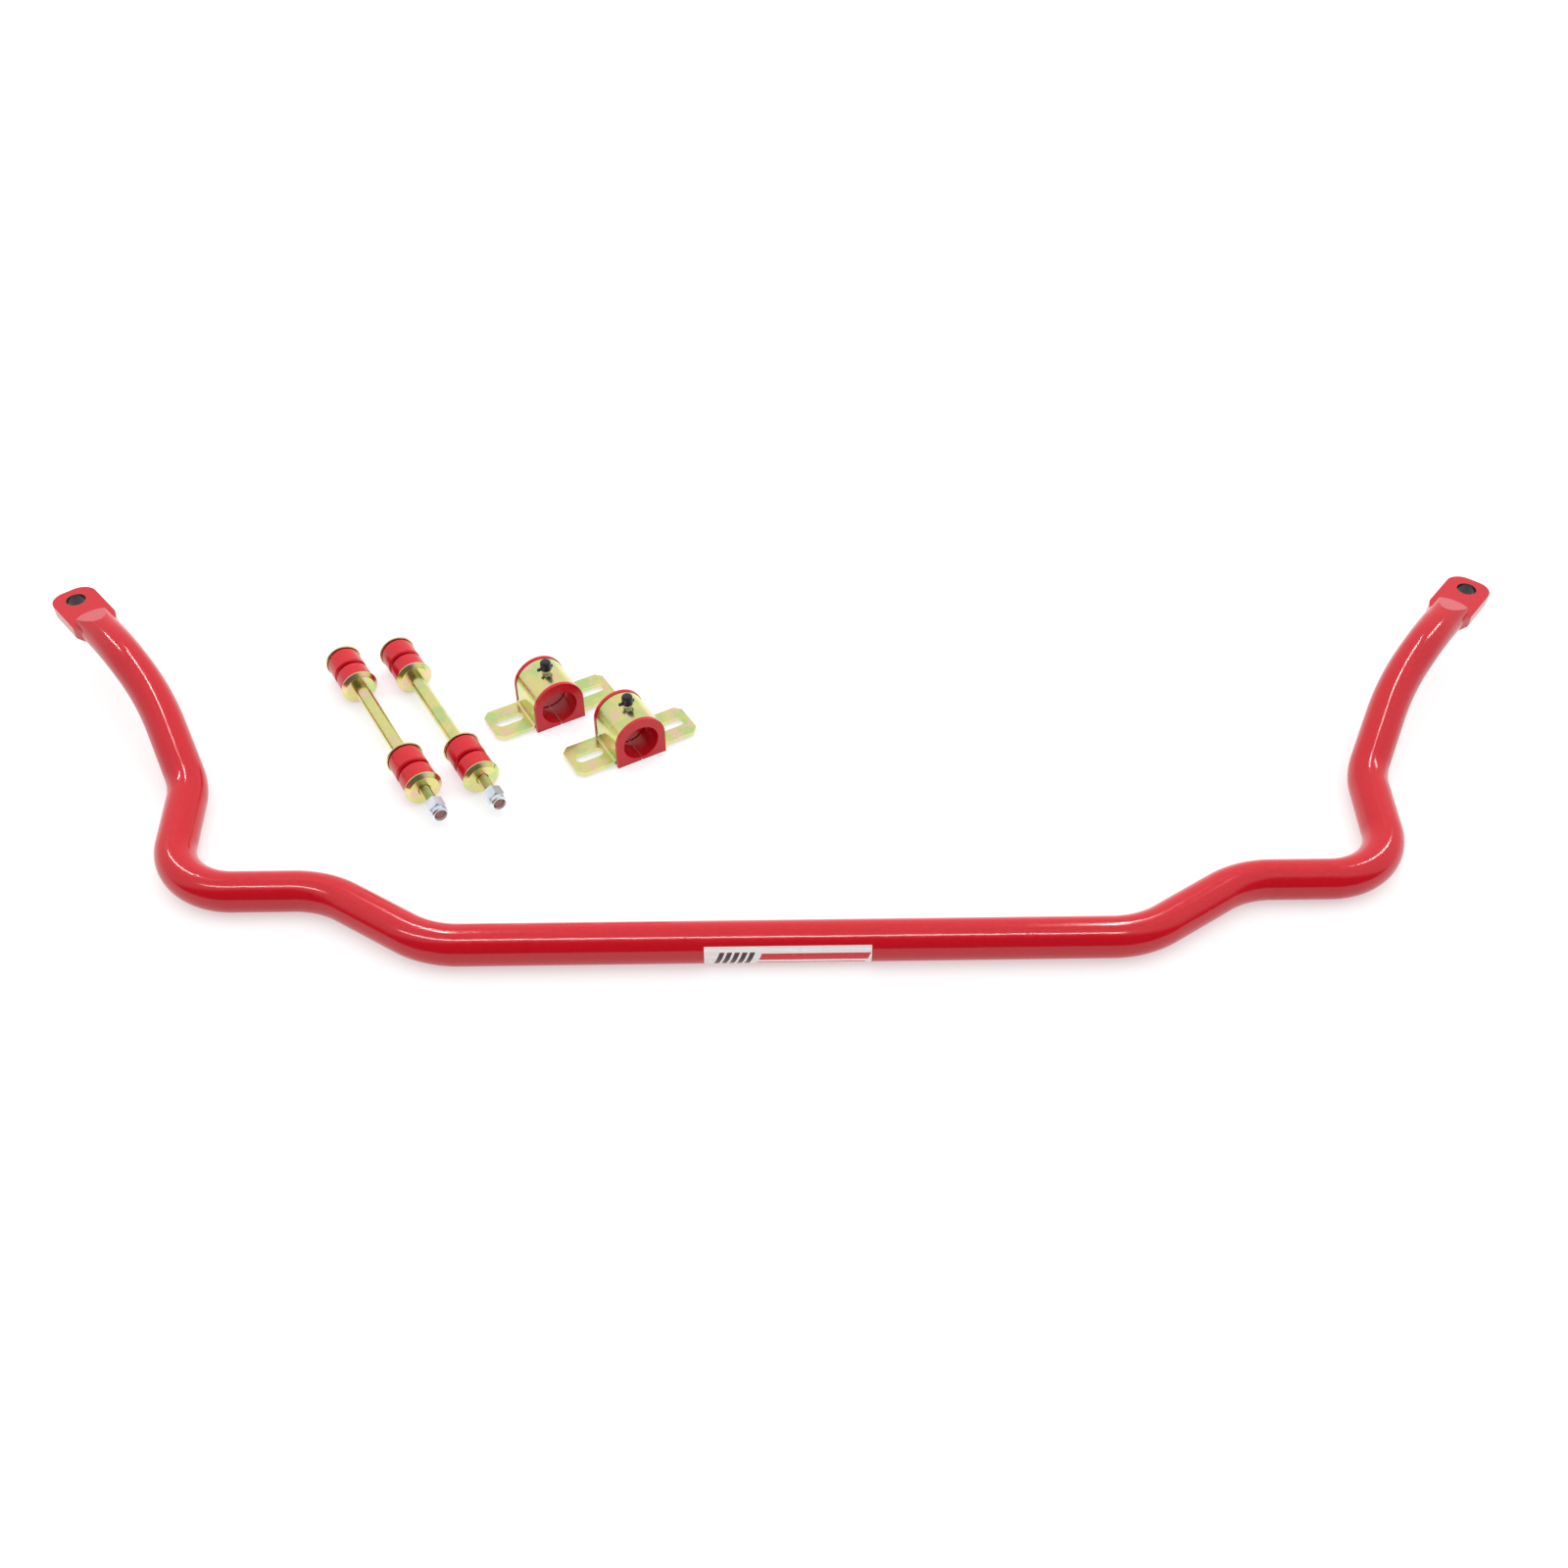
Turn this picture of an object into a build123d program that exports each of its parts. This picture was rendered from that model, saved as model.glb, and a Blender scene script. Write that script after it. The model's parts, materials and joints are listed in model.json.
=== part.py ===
from build123d import *
from math import atan2, cos, degrees, hypot, radians, sin, tan
import os

os.makedirs("parts", exist_ok=True)

# Driving dimensions, in millimetres. +Z is up, -Y is the front, the floor is Z = 0.
INCH = 25.4
BAR_RADIUS = 1.25 * INCH / 2
FACE_GAP = 0.1

# The bar's route, from the middle of its long centre run out to one end.
# X and Y are counted from the middle of the centre run, Z from the floor.
EYE_HEIGHT = 60.0
FRONT_BEND = (264.5, 0.0, BAR_RADIUS)
BACK_BEND = (351.0, 56.0, BAR_RADIUS)
CORNER = (471.0, 56.0, BAR_RADIUS)
KINK = (481.5, 171.5, BAR_RADIUS)
ARM_CURVE = (524.0, 253.5, 44.0)
EYE = (615.0, 359.8, EYE_HEIGHT)
OFFSET_BEND_RADIUS = 78.0
CORNER_RADIUS = 56.0
KINK_RADIUS = 62.0
ARM_CURVE_RADIUS = 300.0
LEVEL_BEND_RADIUS = 150.0
LEVEL_BEND_TO_EYE = 84.0
NECK_TO_EYE = 60.0

# The forged flat eye at each end of the bar.
EYE_WIDTH = 38.0
EYE_THICKNESS = 11.0
EYE_HOLE_RADIUS = 8.25
EYE_TIP = 16.5
EYE_CORNER_RADIUS = 14.0
EYE_SHOULDER = 37.0
EYE_SHOULDER_RADIUS = 8.0
EYE_TAPER_END = 52.0
EYE_TAPER_HALF_WIDTH = 13.5
# Towards the plate the round bar is pressed down by a long slope, and ends in a blunt nose on it.
SLOPE_TO_EYE = 55.0
NOSE_TO_EYE = 40.5
NOSE_RADIUS = 15.5
NOSE_CROWN_RADIUS = 14.0
NOSE_LIP = 1.2

# End links: everything is threaded on one 3/8 in bolt, so its pieces are placed along it.
BOLT_RADIUS = 0.375 * INCH / 2
BOLT_LENGTH = 9.0 * INCH
HEX_ACROSS_FLATS = 0.5625 * INCH
HEAD_HEIGHT = 6.0
CUP_RADIUS = 0.625 * INCH
CUP_FLAT_RADIUS = 12.4
CUP_THICKNESS = 2.0
CUP_RIM = 2.9
CUP_BORE = 5.1
LINK_BUSHING_RADIUS = 14.6
LINK_BUSHING_BORE = 5.15
LINK_BUSHING_SEAT = 2.9
PILOT_RADIUS = 8.0
PILOT_LENGTH = 1.3
LONG_BUSHING = 23.4
SHORT_BUSHING = 19.9
SLEEVE_LENGTH = 100.2
SLEEVE_RADIUS = 0.5 * INCH / 2
SLEEVE_BORE = 5.0
SLEEVE_SLIT = 0.9
NUT_START = 214.0
NUT_HEX_HEIGHT = 11.0
NUT_HEIGHT = 16.0
NUT_BORE = BOLT_RADIUS + 0.05
COLLAR_RADIUS = 6.9
INSERT_RADIUS = 6.2
INSERT_HEIGHT = 3.6
LINK_HEADING = 29.8

# Bar brackets: a hat-shaped strap over a flanged D bushing that holds the bar.
BRACKET_TURN = 29.5
STRAP_DEPTH = 37.0
STRAP_THICKNESS = 3.2
STRAP_HALF_WIDTH = 22.0
STRAP_LIFT = 2.6
DOME_HEIGHT = 21.3
TAB_REACH = 56.7
TAB_CORNER = 5.5
TAB_BEND_RADIUS = 2.5
SLOT_LENGTH = 25.0
SLOT_WIDTH = 10.5
SLOT_CENTRE = 38.5
BODY_HALF_WIDTH = STRAP_HALF_WIDTH - STRAP_THICKNESS - FACE_GAP
FLANGE_HALF_WIDTH = 22.5
FLANGE_THICKNESS = 3.2
FLANGE_CLEARANCE = 0.25
BAR_BORE_RADIUS = BAR_RADIUS + 0.1
BAR_BORE_HEIGHT = 19.2
GREASE_GROOVE_WIDTH = 5.0
GREASE_GROOVE_DEPTH = 0.9
BUSHING_SPLIT = 0.8

# The grease fitting on each strap, and what is in and on it.
FITTING_HOLE_RADIUS = 3.1
FITTING_THREAD_RADIUS = 3.0
FITTING_HEX = 8.0
FITTING_HEX_HEIGHT = 2.6
FITTING_NECK_RADIUS = 2.2
FITTING_HEAD_RADIUS = 3.2
FITTING_HEIGHT = 10.5
FITTING_BORE = 1.45
BALL_RADIUS = 1.35
BALL_DROP = 0.18
SPRING_COIL_RADIUS = 1.05
SPRING_WIRE_RADIUS = 0.16
SPRING_TURNS = 5
CAP_RADIUS = 4.7
CAP_HEIGHT = 8.6
CAP_WALL = 1.2
CAP_TAB = 3.4

# The sticker wrapped on the lower front of the centre run.
LABEL_LEFT = -61.5
LABEL_RIGHT = 61.5
LABEL_TOP_ANGLE = 144.5
LABEL_BOTTOM_ANGLE = 225.0
LABEL_THICKNESS = 0.25


def flat_direction(start, end):
    """The level unit vector that points from one place to another."""
    return (Vector(end[0], end[1]) - Vector(start[0], start[1])).normalized()


arm_direction = flat_direction(ARM_CURVE, EYE)
arm_turn = degrees(atan2(arm_direction.Y, arm_direction.X))
corner_inset_x = EYE_TIP - EYE_CORNER_RADIUS
corner_inset_y = EYE_WIDTH / 2 - EYE_CORNER_RADIUS
eye_back = (
    EYE[1] + corner_inset_x * arm_direction.Y + corner_inset_y * arm_direction.X + EYE_CORNER_RADIUS
)
# Everything moves forward by this much, which puts the middle of the bar's outline at Y = 0.
MID_Y = (eye_back - BAR_RADIUS) / 2


def place(point):
    """Move a point counted from the centre run into the part's own frame."""
    return Vector(point[0], point[1] - MID_Y, point[2])


def finish(shape, node):
    """Name a finished piece and write it as its own file."""
    shape.part.label = node
    export_step(shape.part, f"parts/{node}.step")


# ---------------------------------------------------------------- the bar

def rounded_route(points, radii):
    """Straight runs through the points, with an arc of its own radius at each corner."""
    start = points[0]
    for before, corner, after, radius in zip(points, points[1:], points[2:], radii):
        back = (before - corner).normalized()
        ahead = (after - corner).normalized()
        half_angle = radians(back.get_angle(ahead) / 2)
        reach = radius / tan(half_angle)
        middle = corner + (back + ahead).normalized() * (radius / sin(half_angle) - radius)
        Line(start, corner + back * reach)
        ThreePointArc(corner + back * reach, middle, corner + ahead * reach)
        start = corner + ahead * reach
    Line(start, points[-1])


level_bend = Vector(*EYE) - arm_direction * LEVEL_BEND_TO_EYE
neck = Vector(*EYE) - arm_direction * NECK_TO_EYE
right_points = [
    place(point)
    for point in (FRONT_BEND, BACK_BEND, CORNER, KINK, ARM_CURVE, tuple(level_bend), tuple(neck))
]
left_points = [Vector(-point.X, point.Y, point.Z) for point in reversed(right_points)]
right_radii = [
    OFFSET_BEND_RADIUS, OFFSET_BEND_RADIUS, CORNER_RADIUS, KINK_RADIUS, ARM_CURVE_RADIUS, LEVEL_BEND_RADIUS
]
all_radii = list(reversed(right_radii)) + right_radii
eyes = {
    "right": (place(EYE), arm_turn),
    "left": (Vector(-EYE[0], place(EYE).Y, EYE[2]), 180 - arm_turn),
}

with BuildPart() as sway_bar:
    with BuildLine() as route:
        rounded_route(left_points + right_points, all_radii)
    with BuildSketch(Plane(origin=route.line @ 0, z_dir=route.line % 0)):
        Circle(BAR_RADIUS)
    sweep(path=route.line)
    for eye, turn in eyes.values():
        outward = Vector(1, 0).rotate(Axis.Z, turn)
        # The round bar carries on over the start of the plate, and is pressed back to a nose there.
        with BuildSketch(Plane(origin=eye - outward * NECK_TO_EYE, z_dir=outward)):
            Circle(BAR_RADIUS)
        nose_tip = NOSE_TO_EYE - NOSE_RADIUS
        extrude(amount=NECK_TO_EYE - nose_tip + 1)
        across = outward.rotate(Axis.Z, 90)
        nose = Plane(origin=eye - outward * NOSE_TO_EYE, x_dir=across, z_dir=outward)
        plate_face = EYE_THICKNESS / 2
        crown = BAR_RADIUS + 1
        clear_of_bar = BAR_RADIUS + NOSE_RADIUS
        with BuildSketch(nose):
            for side in (1, -1):
                with BuildLine():
                    Polyline(
                        (NOSE_RADIUS, side * plate_face),
                        (clear_of_bar, side * plate_face),
                        (clear_of_bar, side * crown),
                        (NOSE_CROWN_RADIUS, side * crown),
                        close=True,
                    )
                make_face()
        revolve(axis=Axis(nose.origin, (0, 0, -1)), revolution_arc=180, mode=Mode.SUBTRACT)
        with BuildSketch(Plane(origin=eye, x_dir=outward, z_dir=-across)):
            for side in (1, -1):
                with BuildLine():
                    Polyline(
                        (-SLOPE_TO_EYE, side * BAR_RADIUS),
                        (-nose_tip, side * (plate_face + NOSE_LIP)),
                        (0, side * (plate_face + NOSE_LIP)),
                        (0, side * crown),
                        (-SLOPE_TO_EYE, side * crown),
                        close=True,
                    )
                make_face()
        extrude(amount=EYE_WIDTH / 2, both=True, mode=Mode.SUBTRACT)
        flat = Plane(origin=eye - Vector(0, 0, EYE_THICKNESS / 2), x_dir=outward, z_dir=(0, 0, 1))
        with BuildSketch(flat) as plate:
            with BuildLine():
                Polyline(
                    (EYE_TIP, -EYE_WIDTH / 2),
                    (EYE_TIP, EYE_WIDTH / 2),
                    (-EYE_SHOULDER, EYE_WIDTH / 2),
                    (-EYE_TAPER_END, EYE_TAPER_HALF_WIDTH),
                    (-EYE_TAPER_END, -EYE_TAPER_HALF_WIDTH),
                    (-EYE_SHOULDER, -EYE_WIDTH / 2),
                    close=True,
                )
            make_face()
            fillet(plate.vertices().group_by(Axis.X)[-1], EYE_CORNER_RADIUS)
            fillet(plate.vertices().group_by(Axis.X)[1], EYE_SHOULDER_RADIUS)
        extrude(amount=EYE_THICKNESS)
        with BuildSketch(flat):
            Circle(EYE_HOLE_RADIUS)
        extrude(amount=EYE_THICKNESS, mode=Mode.SUBTRACT)
finish(sway_bar, "sway_bar")

with BuildPart() as bar_label:
    inner = BAR_RADIUS + 0.02
    outer = inner + LABEL_THICKNESS
    sweep_angle = LABEL_BOTTOM_ANGLE - LABEL_TOP_ANGLE
    with BuildSketch(Plane(origin=place((LABEL_LEFT, 0, BAR_RADIUS)), x_dir=(0, 1, 0), z_dir=(1, 0, 0))):
        with BuildLine():
            low = CenterArc((0, 0), inner, LABEL_TOP_ANGLE, sweep_angle)
            high = CenterArc((0, 0), outer, LABEL_TOP_ANGLE, sweep_angle)
            Line(low @ 0, high @ 0)
            Line(low @ 1, high @ 1)
        make_face()
    extrude(amount=LABEL_RIGHT - LABEL_LEFT)
finish(bar_label, "bar_label")


# ---------------------------------------------------------------- end links

def turned(plane, outline):
    """A solid of revolution: outline points are (distance from the axis, distance along it)."""
    with BuildPart() as solid:
        with BuildSketch(plane):
            with BuildLine():
                Polyline(*outline, close=True)
            make_face()
        revolve(axis=Axis(plane.origin, plane.y_dir))
    return solid


def cup_washer(plane, start, facing):
    """A dished washer whose flat back is at start and whose rim leans the way facing says."""
    outline = [
        (CUP_BORE, 0),
        (CUP_FLAT_RADIUS, 0),
        (CUP_RADIUS, CUP_RIM),
        (CUP_RADIUS, CUP_RIM + 0.8),
        (CUP_RADIUS - 0.8, CUP_RIM + 1.5),
        (CUP_FLAT_RADIUS - 0.6, CUP_THICKNESS),
        (CUP_BORE, CUP_THICKNESS),
    ]
    return turned(plane, [(radius, start + facing * along) for radius, along in outline])


def link_bushing(plane, start, length, facing):
    """A bushing whose seated end is at start; its short pilot points the way facing says."""
    shoulder = length - PILOT_LENGTH
    outline = [
        (LINK_BUSHING_BORE, 0),
        (CUP_FLAT_RADIUS - 1.1, 0),
        (LINK_BUSHING_RADIUS - 0.4, LINK_BUSHING_SEAT - 0.5),
        (LINK_BUSHING_RADIUS, LINK_BUSHING_SEAT + 0.4),
        (LINK_BUSHING_RADIUS, shoulder - 1.4),
        (LINK_BUSHING_RADIUS - 1.6, shoulder),
        (PILOT_RADIUS, shoulder),
        (PILOT_RADIUS, length),
        (LINK_BUSHING_BORE, length),
    ]
    return turned(plane, [(radius, start + facing * along) for radius, along in outline])


def link_bolt(plane):
    """A plain-shanked hex bolt with its head behind the start of the axis."""
    with BuildPart() as bolt:
        with BuildSketch(plane):
            with BuildLine():
                Polyline(
                    (0, 0),
                    (BOLT_RADIUS, 0),
                    (BOLT_RADIUS, BOLT_LENGTH - 0.8),
                    (BOLT_RADIUS - 0.8, BOLT_LENGTH),
                    (0, BOLT_LENGTH),
                    close=True,
                )
            make_face()
        revolve(axis=Axis(plane.origin, plane.y_dir))
        with BuildSketch(Plane(origin=plane.origin, x_dir=plane.x_dir, z_dir=-plane.y_dir)):
            RegularPolygon(HEX_ACROSS_FLATS / 2, 6, major_radius=False)
        extrude(amount=HEAD_HEIGHT)
        # Turned chamfer on the outer end of the head.
        with BuildSketch(plane):
            with BuildLine():
                Polyline(
                    (HEX_ACROSS_FLATS / 2, -HEAD_HEIGHT),
                    (HEX_ACROSS_FLATS / 2 + 2, -HEAD_HEIGHT),
                    (HEX_ACROSS_FLATS / 2 + 2, -HEAD_HEIGHT + 1.2),
                    close=True,
                )
            make_face()
        revolve(axis=Axis(plane.origin, plane.y_dir), mode=Mode.SUBTRACT)
    return bolt


def link_sleeve(plane, start, slit_turn):
    """A rolled tube with an open seam along it, turned slit_turn degrees from straight up."""
    across = plane.x_dir.rotate(Axis(Vector(), plane.y_dir), slit_turn)
    end = Plane(origin=plane.origin + plane.y_dir * start, x_dir=across, z_dir=plane.y_dir)
    with BuildPart() as sleeve:
        with BuildSketch(end):
            Circle(SLEEVE_RADIUS)
            Circle(SLEEVE_BORE, mode=Mode.SUBTRACT)
            with Locations((SLEEVE_RADIUS, 0)):
                Rectangle(2 * (SLEEVE_RADIUS - SLEEVE_BORE) + 1, SLEEVE_SLIT, mode=Mode.SUBTRACT)
        extrude(amount=SLEEVE_LENGTH)
    return sleeve


def lock_nut(plane):
    """A tall hex nut with a round collar rolled over a ring of nylon."""
    axis = Axis(plane.origin, plane.y_dir)
    face = Plane(origin=plane.origin + plane.y_dir * NUT_START, x_dir=plane.x_dir, z_dir=plane.y_dir)
    with BuildPart() as nut:
        with BuildSketch(face):
            RegularPolygon(HEX_ACROSS_FLATS / 2, 6, major_radius=False)
        extrude(amount=NUT_HEX_HEIGHT)
        with BuildSketch(plane):
            with BuildLine():
                Polyline(
                    (0, NUT_START + NUT_HEX_HEIGHT),
                    (COLLAR_RADIUS, NUT_START + NUT_HEX_HEIGHT),
                    (COLLAR_RADIUS, NUT_START + NUT_HEIGHT - 1.4),
                    (COLLAR_RADIUS - 1.0, NUT_START + NUT_HEIGHT),
                    (0, NUT_START + NUT_HEIGHT),
                    close=True,
                )
            make_face()
        revolve(axis=axis)
        # Turned chamfer where the hexagon meets the collar, then the bore and the ring's seat.
        with BuildSketch(plane):
            with BuildLine():
                Polyline(
                    (HEX_ACROSS_FLATS / 2, NUT_START + NUT_HEX_HEIGHT),
                    (HEX_ACROSS_FLATS / 2 + 2, NUT_START + NUT_HEX_HEIGHT),
                    (HEX_ACROSS_FLATS / 2 + 2, NUT_START + NUT_HEX_HEIGHT - 1.4),
                    close=True,
                )
            make_face()
            with BuildLine():
                Polyline(
                    (0, NUT_START),
                    (NUT_BORE, NUT_START),
                    (NUT_BORE, NUT_START + NUT_HEIGHT - INSERT_HEIGHT - 1.1),
                    (INSERT_RADIUS, NUT_START + NUT_HEIGHT - INSERT_HEIGHT - 1.1),
                    (INSERT_RADIUS, NUT_START + NUT_HEIGHT - 0.9),
                    (NUT_BORE + 0.5, NUT_START + NUT_HEIGHT - 0.9),
                    (NUT_BORE + 0.5, NUT_START + NUT_HEIGHT),
                    (0, NUT_START + NUT_HEIGHT),
                    close=True,
                )
            make_face()
        revolve(axis=axis, mode=Mode.SUBTRACT)
    return nut


# Where each link's bolt starts, seen from the middle of the centre run, and its sleeve's seam.
links = {
    "a": ((-388.0, 335.7, CUP_RADIUS), 58.0),
    "b": ((-342.5, 347.8, CUP_RADIUS), -60.0),
}
heading = Vector(sin(radians(LINK_HEADING)), -cos(radians(LINK_HEADING)))
up = Vector(0, 0, 1)

# Distances along the bolt, from under its head.
first_seat = FACE_GAP + CUP_THICKNESS + FACE_GAP
first_middle = first_seat + LONG_BUSHING + FACE_GAP / 2
second_seat = first_middle + FACE_GAP / 2 + SHORT_BUSHING
second_back = second_seat + FACE_GAP + CUP_THICKNESS
sleeve_start = second_back + FACE_GAP
third_back = sleeve_start + SLEEVE_LENGTH + FACE_GAP
third_seat = third_back + CUP_THICKNESS + FACE_GAP
second_middle = third_seat + LONG_BUSHING + FACE_GAP / 2
fourth_seat = second_middle + FACE_GAP / 2 + SHORT_BUSHING
fourth_back = fourth_seat + FACE_GAP + CUP_THICKNESS

for name, (start, slit_turn) in links.items():
    plane = Plane(origin=place(start), x_dir=up, z_dir=up.cross(heading))
    pieces = {
        "bolt": link_bolt(plane),
        "head_washer": cup_washer(plane, FACE_GAP, 1),
        "head_bushing_outer": link_bushing(plane, first_seat, LONG_BUSHING, 1),
        "head_bushing_inner": link_bushing(plane, second_seat, SHORT_BUSHING, -1),
        "sleeve_washer_head_end": cup_washer(plane, second_back, -1),
        "sleeve": link_sleeve(plane, sleeve_start, slit_turn),
        "sleeve_washer_nut_end": cup_washer(plane, third_back, 1),
        "nut_bushing_inner": link_bushing(plane, third_seat, LONG_BUSHING, 1),
        "nut_bushing_outer": link_bushing(plane, fourth_seat, SHORT_BUSHING, -1),
        "nut_washer": cup_washer(plane, fourth_back, -1),
        "lock_nut": lock_nut(plane),
        "nut_insert": turned(plane, [
            (NUT_BORE, NUT_START + NUT_HEIGHT - INSERT_HEIGHT - 1.0),
            (INSERT_RADIUS - 0.05, NUT_START + NUT_HEIGHT - INSERT_HEIGHT - 1.0),
            (INSERT_RADIUS - 0.05, NUT_START + NUT_HEIGHT - 1.0),
            (NUT_BORE, NUT_START + NUT_HEIGHT - 1.0),
        ]),
    }
    for piece, solid in pieces.items():
        finish(solid, f"link_{name}_{piece}")


# ---------------------------------------------------------------- bar brackets

def d_outline(half_width, foot=0.0):
    """Draw a D standing on its flat: upright sides under a half circle."""
    side = Line((-half_width, foot), (-half_width, DOME_HEIGHT))
    ThreePointArc(side @ 1, (0, DOME_HEIGHT + half_width), (half_width, DOME_HEIGHT))
    Line((half_width, DOME_HEIGHT), (half_width, foot))
    Line((half_width, foot), side @ 0)


def bracket_strap(base):
    """The hat-shaped strap, with a slotted tab on each side and a hole for the grease fitting."""
    front = Plane(origin=base.origin, x_dir=base.x_dir, z_dir=-base.y_dir).offset(-STRAP_DEPTH / 2)
    with BuildPart() as strap:
        with BuildSketch(front):
            with BuildLine():
                d_outline(STRAP_HALF_WIDTH, STRAP_LIFT)
            make_face()
            with Locations((0, STRAP_LIFT + STRAP_THICKNESS / 2)):
                Rectangle(2 * TAB_REACH, STRAP_THICKNESS)
            inside_bends = [
                corner for corner in vertices()
                if abs(abs(corner.X) - STRAP_HALF_WIDTH) < 0.01 and STRAP_LIFT < corner.Y < DOME_HEIGHT - 1
            ]
            fillet(inside_bends, TAB_BEND_RADIUS)
            with BuildLine(mode=Mode.PRIVATE) as opening:
                d_outline(STRAP_HALF_WIDTH - STRAP_THICKNESS, STRAP_LIFT)
            make_face(opening.edges(), mode=Mode.SUBTRACT)
        extrude(amount=STRAP_DEPTH)
        ends = edges().filter_by(Axis.Z).filter_by(lambda edge: edge.length < STRAP_THICKNESS + 0.1)
        chamfer(ends, TAB_CORNER)
        with BuildSketch(base.offset(STRAP_LIFT)):
            with Locations((-SLOT_CENTRE, 0), (SLOT_CENTRE, 0)):
                SlotOverall(SLOT_LENGTH, SLOT_WIDTH)
        extrude(amount=STRAP_THICKNESS, mode=Mode.SUBTRACT)
        with BuildSketch(base.offset(DOME_HEIGHT)):
            Circle(FITTING_HOLE_RADIUS)
        extrude(amount=STRAP_HALF_WIDTH + 1, mode=Mode.SUBTRACT)
    return strap


def bracket_bushing(base):
    """The flanged D bushing, bored for the bar and split underneath so that it opens over it."""
    front = Plane(origin=base.origin, x_dir=base.x_dir, z_dir=-base.y_dir)
    half_length = STRAP_DEPTH / 2 + FLANGE_CLEARANCE
    with BuildPart() as bushing:
        with BuildSketch(front):
            with BuildLine():
                d_outline(BODY_HALF_WIDTH)
            make_face()
        extrude(amount=half_length, both=True)
        for side in (half_length, -half_length - FLANGE_THICKNESS):
            with BuildSketch(front.offset(side)):
                with BuildLine():
                    d_outline(FLANGE_HALF_WIDTH)
                make_face()
            extrude(amount=FLANGE_THICKNESS)
        with BuildSketch(front):
            with Locations((0, BAR_BORE_HEIGHT)):
                Circle(BAR_BORE_RADIUS)
            with Locations((0, BAR_BORE_HEIGHT / 2)):
                Rectangle(BUSHING_SPLIT, BAR_BORE_HEIGHT)
        extrude(amount=half_length + FLANGE_THICKNESS, both=True, mode=Mode.SUBTRACT)
        # A groove round the bore spreads the grease that the port lets in.
        with BuildSketch(front):
            with Locations((0, BAR_BORE_HEIGHT)):
                Circle(BAR_BORE_RADIUS + GREASE_GROOVE_DEPTH)
        extrude(amount=GREASE_GROOVE_WIDTH / 2, both=True, mode=Mode.SUBTRACT)
        with BuildSketch(base.offset(BAR_BORE_HEIGHT)):
            Circle(FITTING_HOLE_RADIUS)
        extrude(amount=FLANGE_HALF_WIDTH + DOME_HEIGHT, mode=Mode.SUBTRACT)
    return bushing


def upright(base):
    """The sketch plane for what stands on a strap's crown: X is outward, Y is up."""
    return Plane(origin=base.origin + up * strap_top, x_dir=base.x_dir, z_dir=-base.y_dir)


strap_top = DOME_HEIGHT + STRAP_HALF_WIDTH
thread_end = -STRAP_THICKNESS
spring_foot = -0.6
ball_centre = FITTING_HEIGHT - 1.75


def grease_fitting(base):
    """A straight grease fitting: thread, hexagon, waist and a ball-shaped tip with a bore."""
    with BuildPart() as fitting:
        with BuildSketch(upright(base)):
            with BuildLine():
                Polyline(
                    (0, thread_end),
                    (FITTING_THREAD_RADIUS, thread_end),
                    (FITTING_THREAD_RADIUS, 0.2),
                    (FITTING_NECK_RADIUS + 0.5, FITTING_HEX_HEIGHT),
                    (FITTING_NECK_RADIUS, FITTING_HEX_HEIGHT + 2.2),
                    (FITTING_HEAD_RADIUS, FITTING_HEX_HEIGHT + 4.0),
                    (FITTING_HEAD_RADIUS, FITTING_HEX_HEIGHT + 5.6),
                    (FITTING_HEAD_RADIUS - 1.3, FITTING_HEIGHT),
                    (0, FITTING_HEIGHT),
                    close=True,
                )
            make_face()
        revolve(axis=Axis(base.origin, up))
        with BuildSketch(base.offset(strap_top + 0.15)):
            RegularPolygon(FITTING_HEX / 2, 6, major_radius=False)
        extrude(amount=FITTING_HEX_HEIGHT)
        with BuildSketch(upright(base)):
            with BuildLine():
                Polyline(
                    (0, thread_end),
                    (0.7, thread_end),
                    (0.7, spring_foot - 0.05),
                    (FITTING_BORE, spring_foot - 0.05),
                    (FITTING_BORE, ball_centre),
                    (0.9, ball_centre + 1.1),
                    (0.9, FITTING_HEIGHT),
                    (0, FITTING_HEIGHT),
                    close=True,
                )
            make_face()
        revolve(axis=Axis(base.origin, up), mode=Mode.SUBTRACT)
    return fitting


def check_ball(base):
    """The ball that closes the fitting's tip from inside."""
    with BuildPart() as ball:
        with Locations(base.offset(strap_top + ball_centre - BALL_DROP)):
            Sphere(BALL_RADIUS)
    return ball


def check_spring(base):
    """The coil spring that holds the ball up."""
    low = base.origin + up * (strap_top + spring_foot + SPRING_WIRE_RADIUS)
    coil_height = ball_centre - BALL_DROP - BALL_RADIUS - spring_foot - 2 * SPRING_WIRE_RADIUS - 0.1
    with BuildPart() as spring:
        with BuildLine() as wire:
            Helix(coil_height / SPRING_TURNS, coil_height, SPRING_COIL_RADIUS, center=low)
        with BuildSketch(Plane(origin=wire.line @ 0, z_dir=wire.line % 0)):
            Circle(SPRING_WIRE_RADIUS)
        sweep(path=wire.line, is_frenet=True)
    return spring


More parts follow.
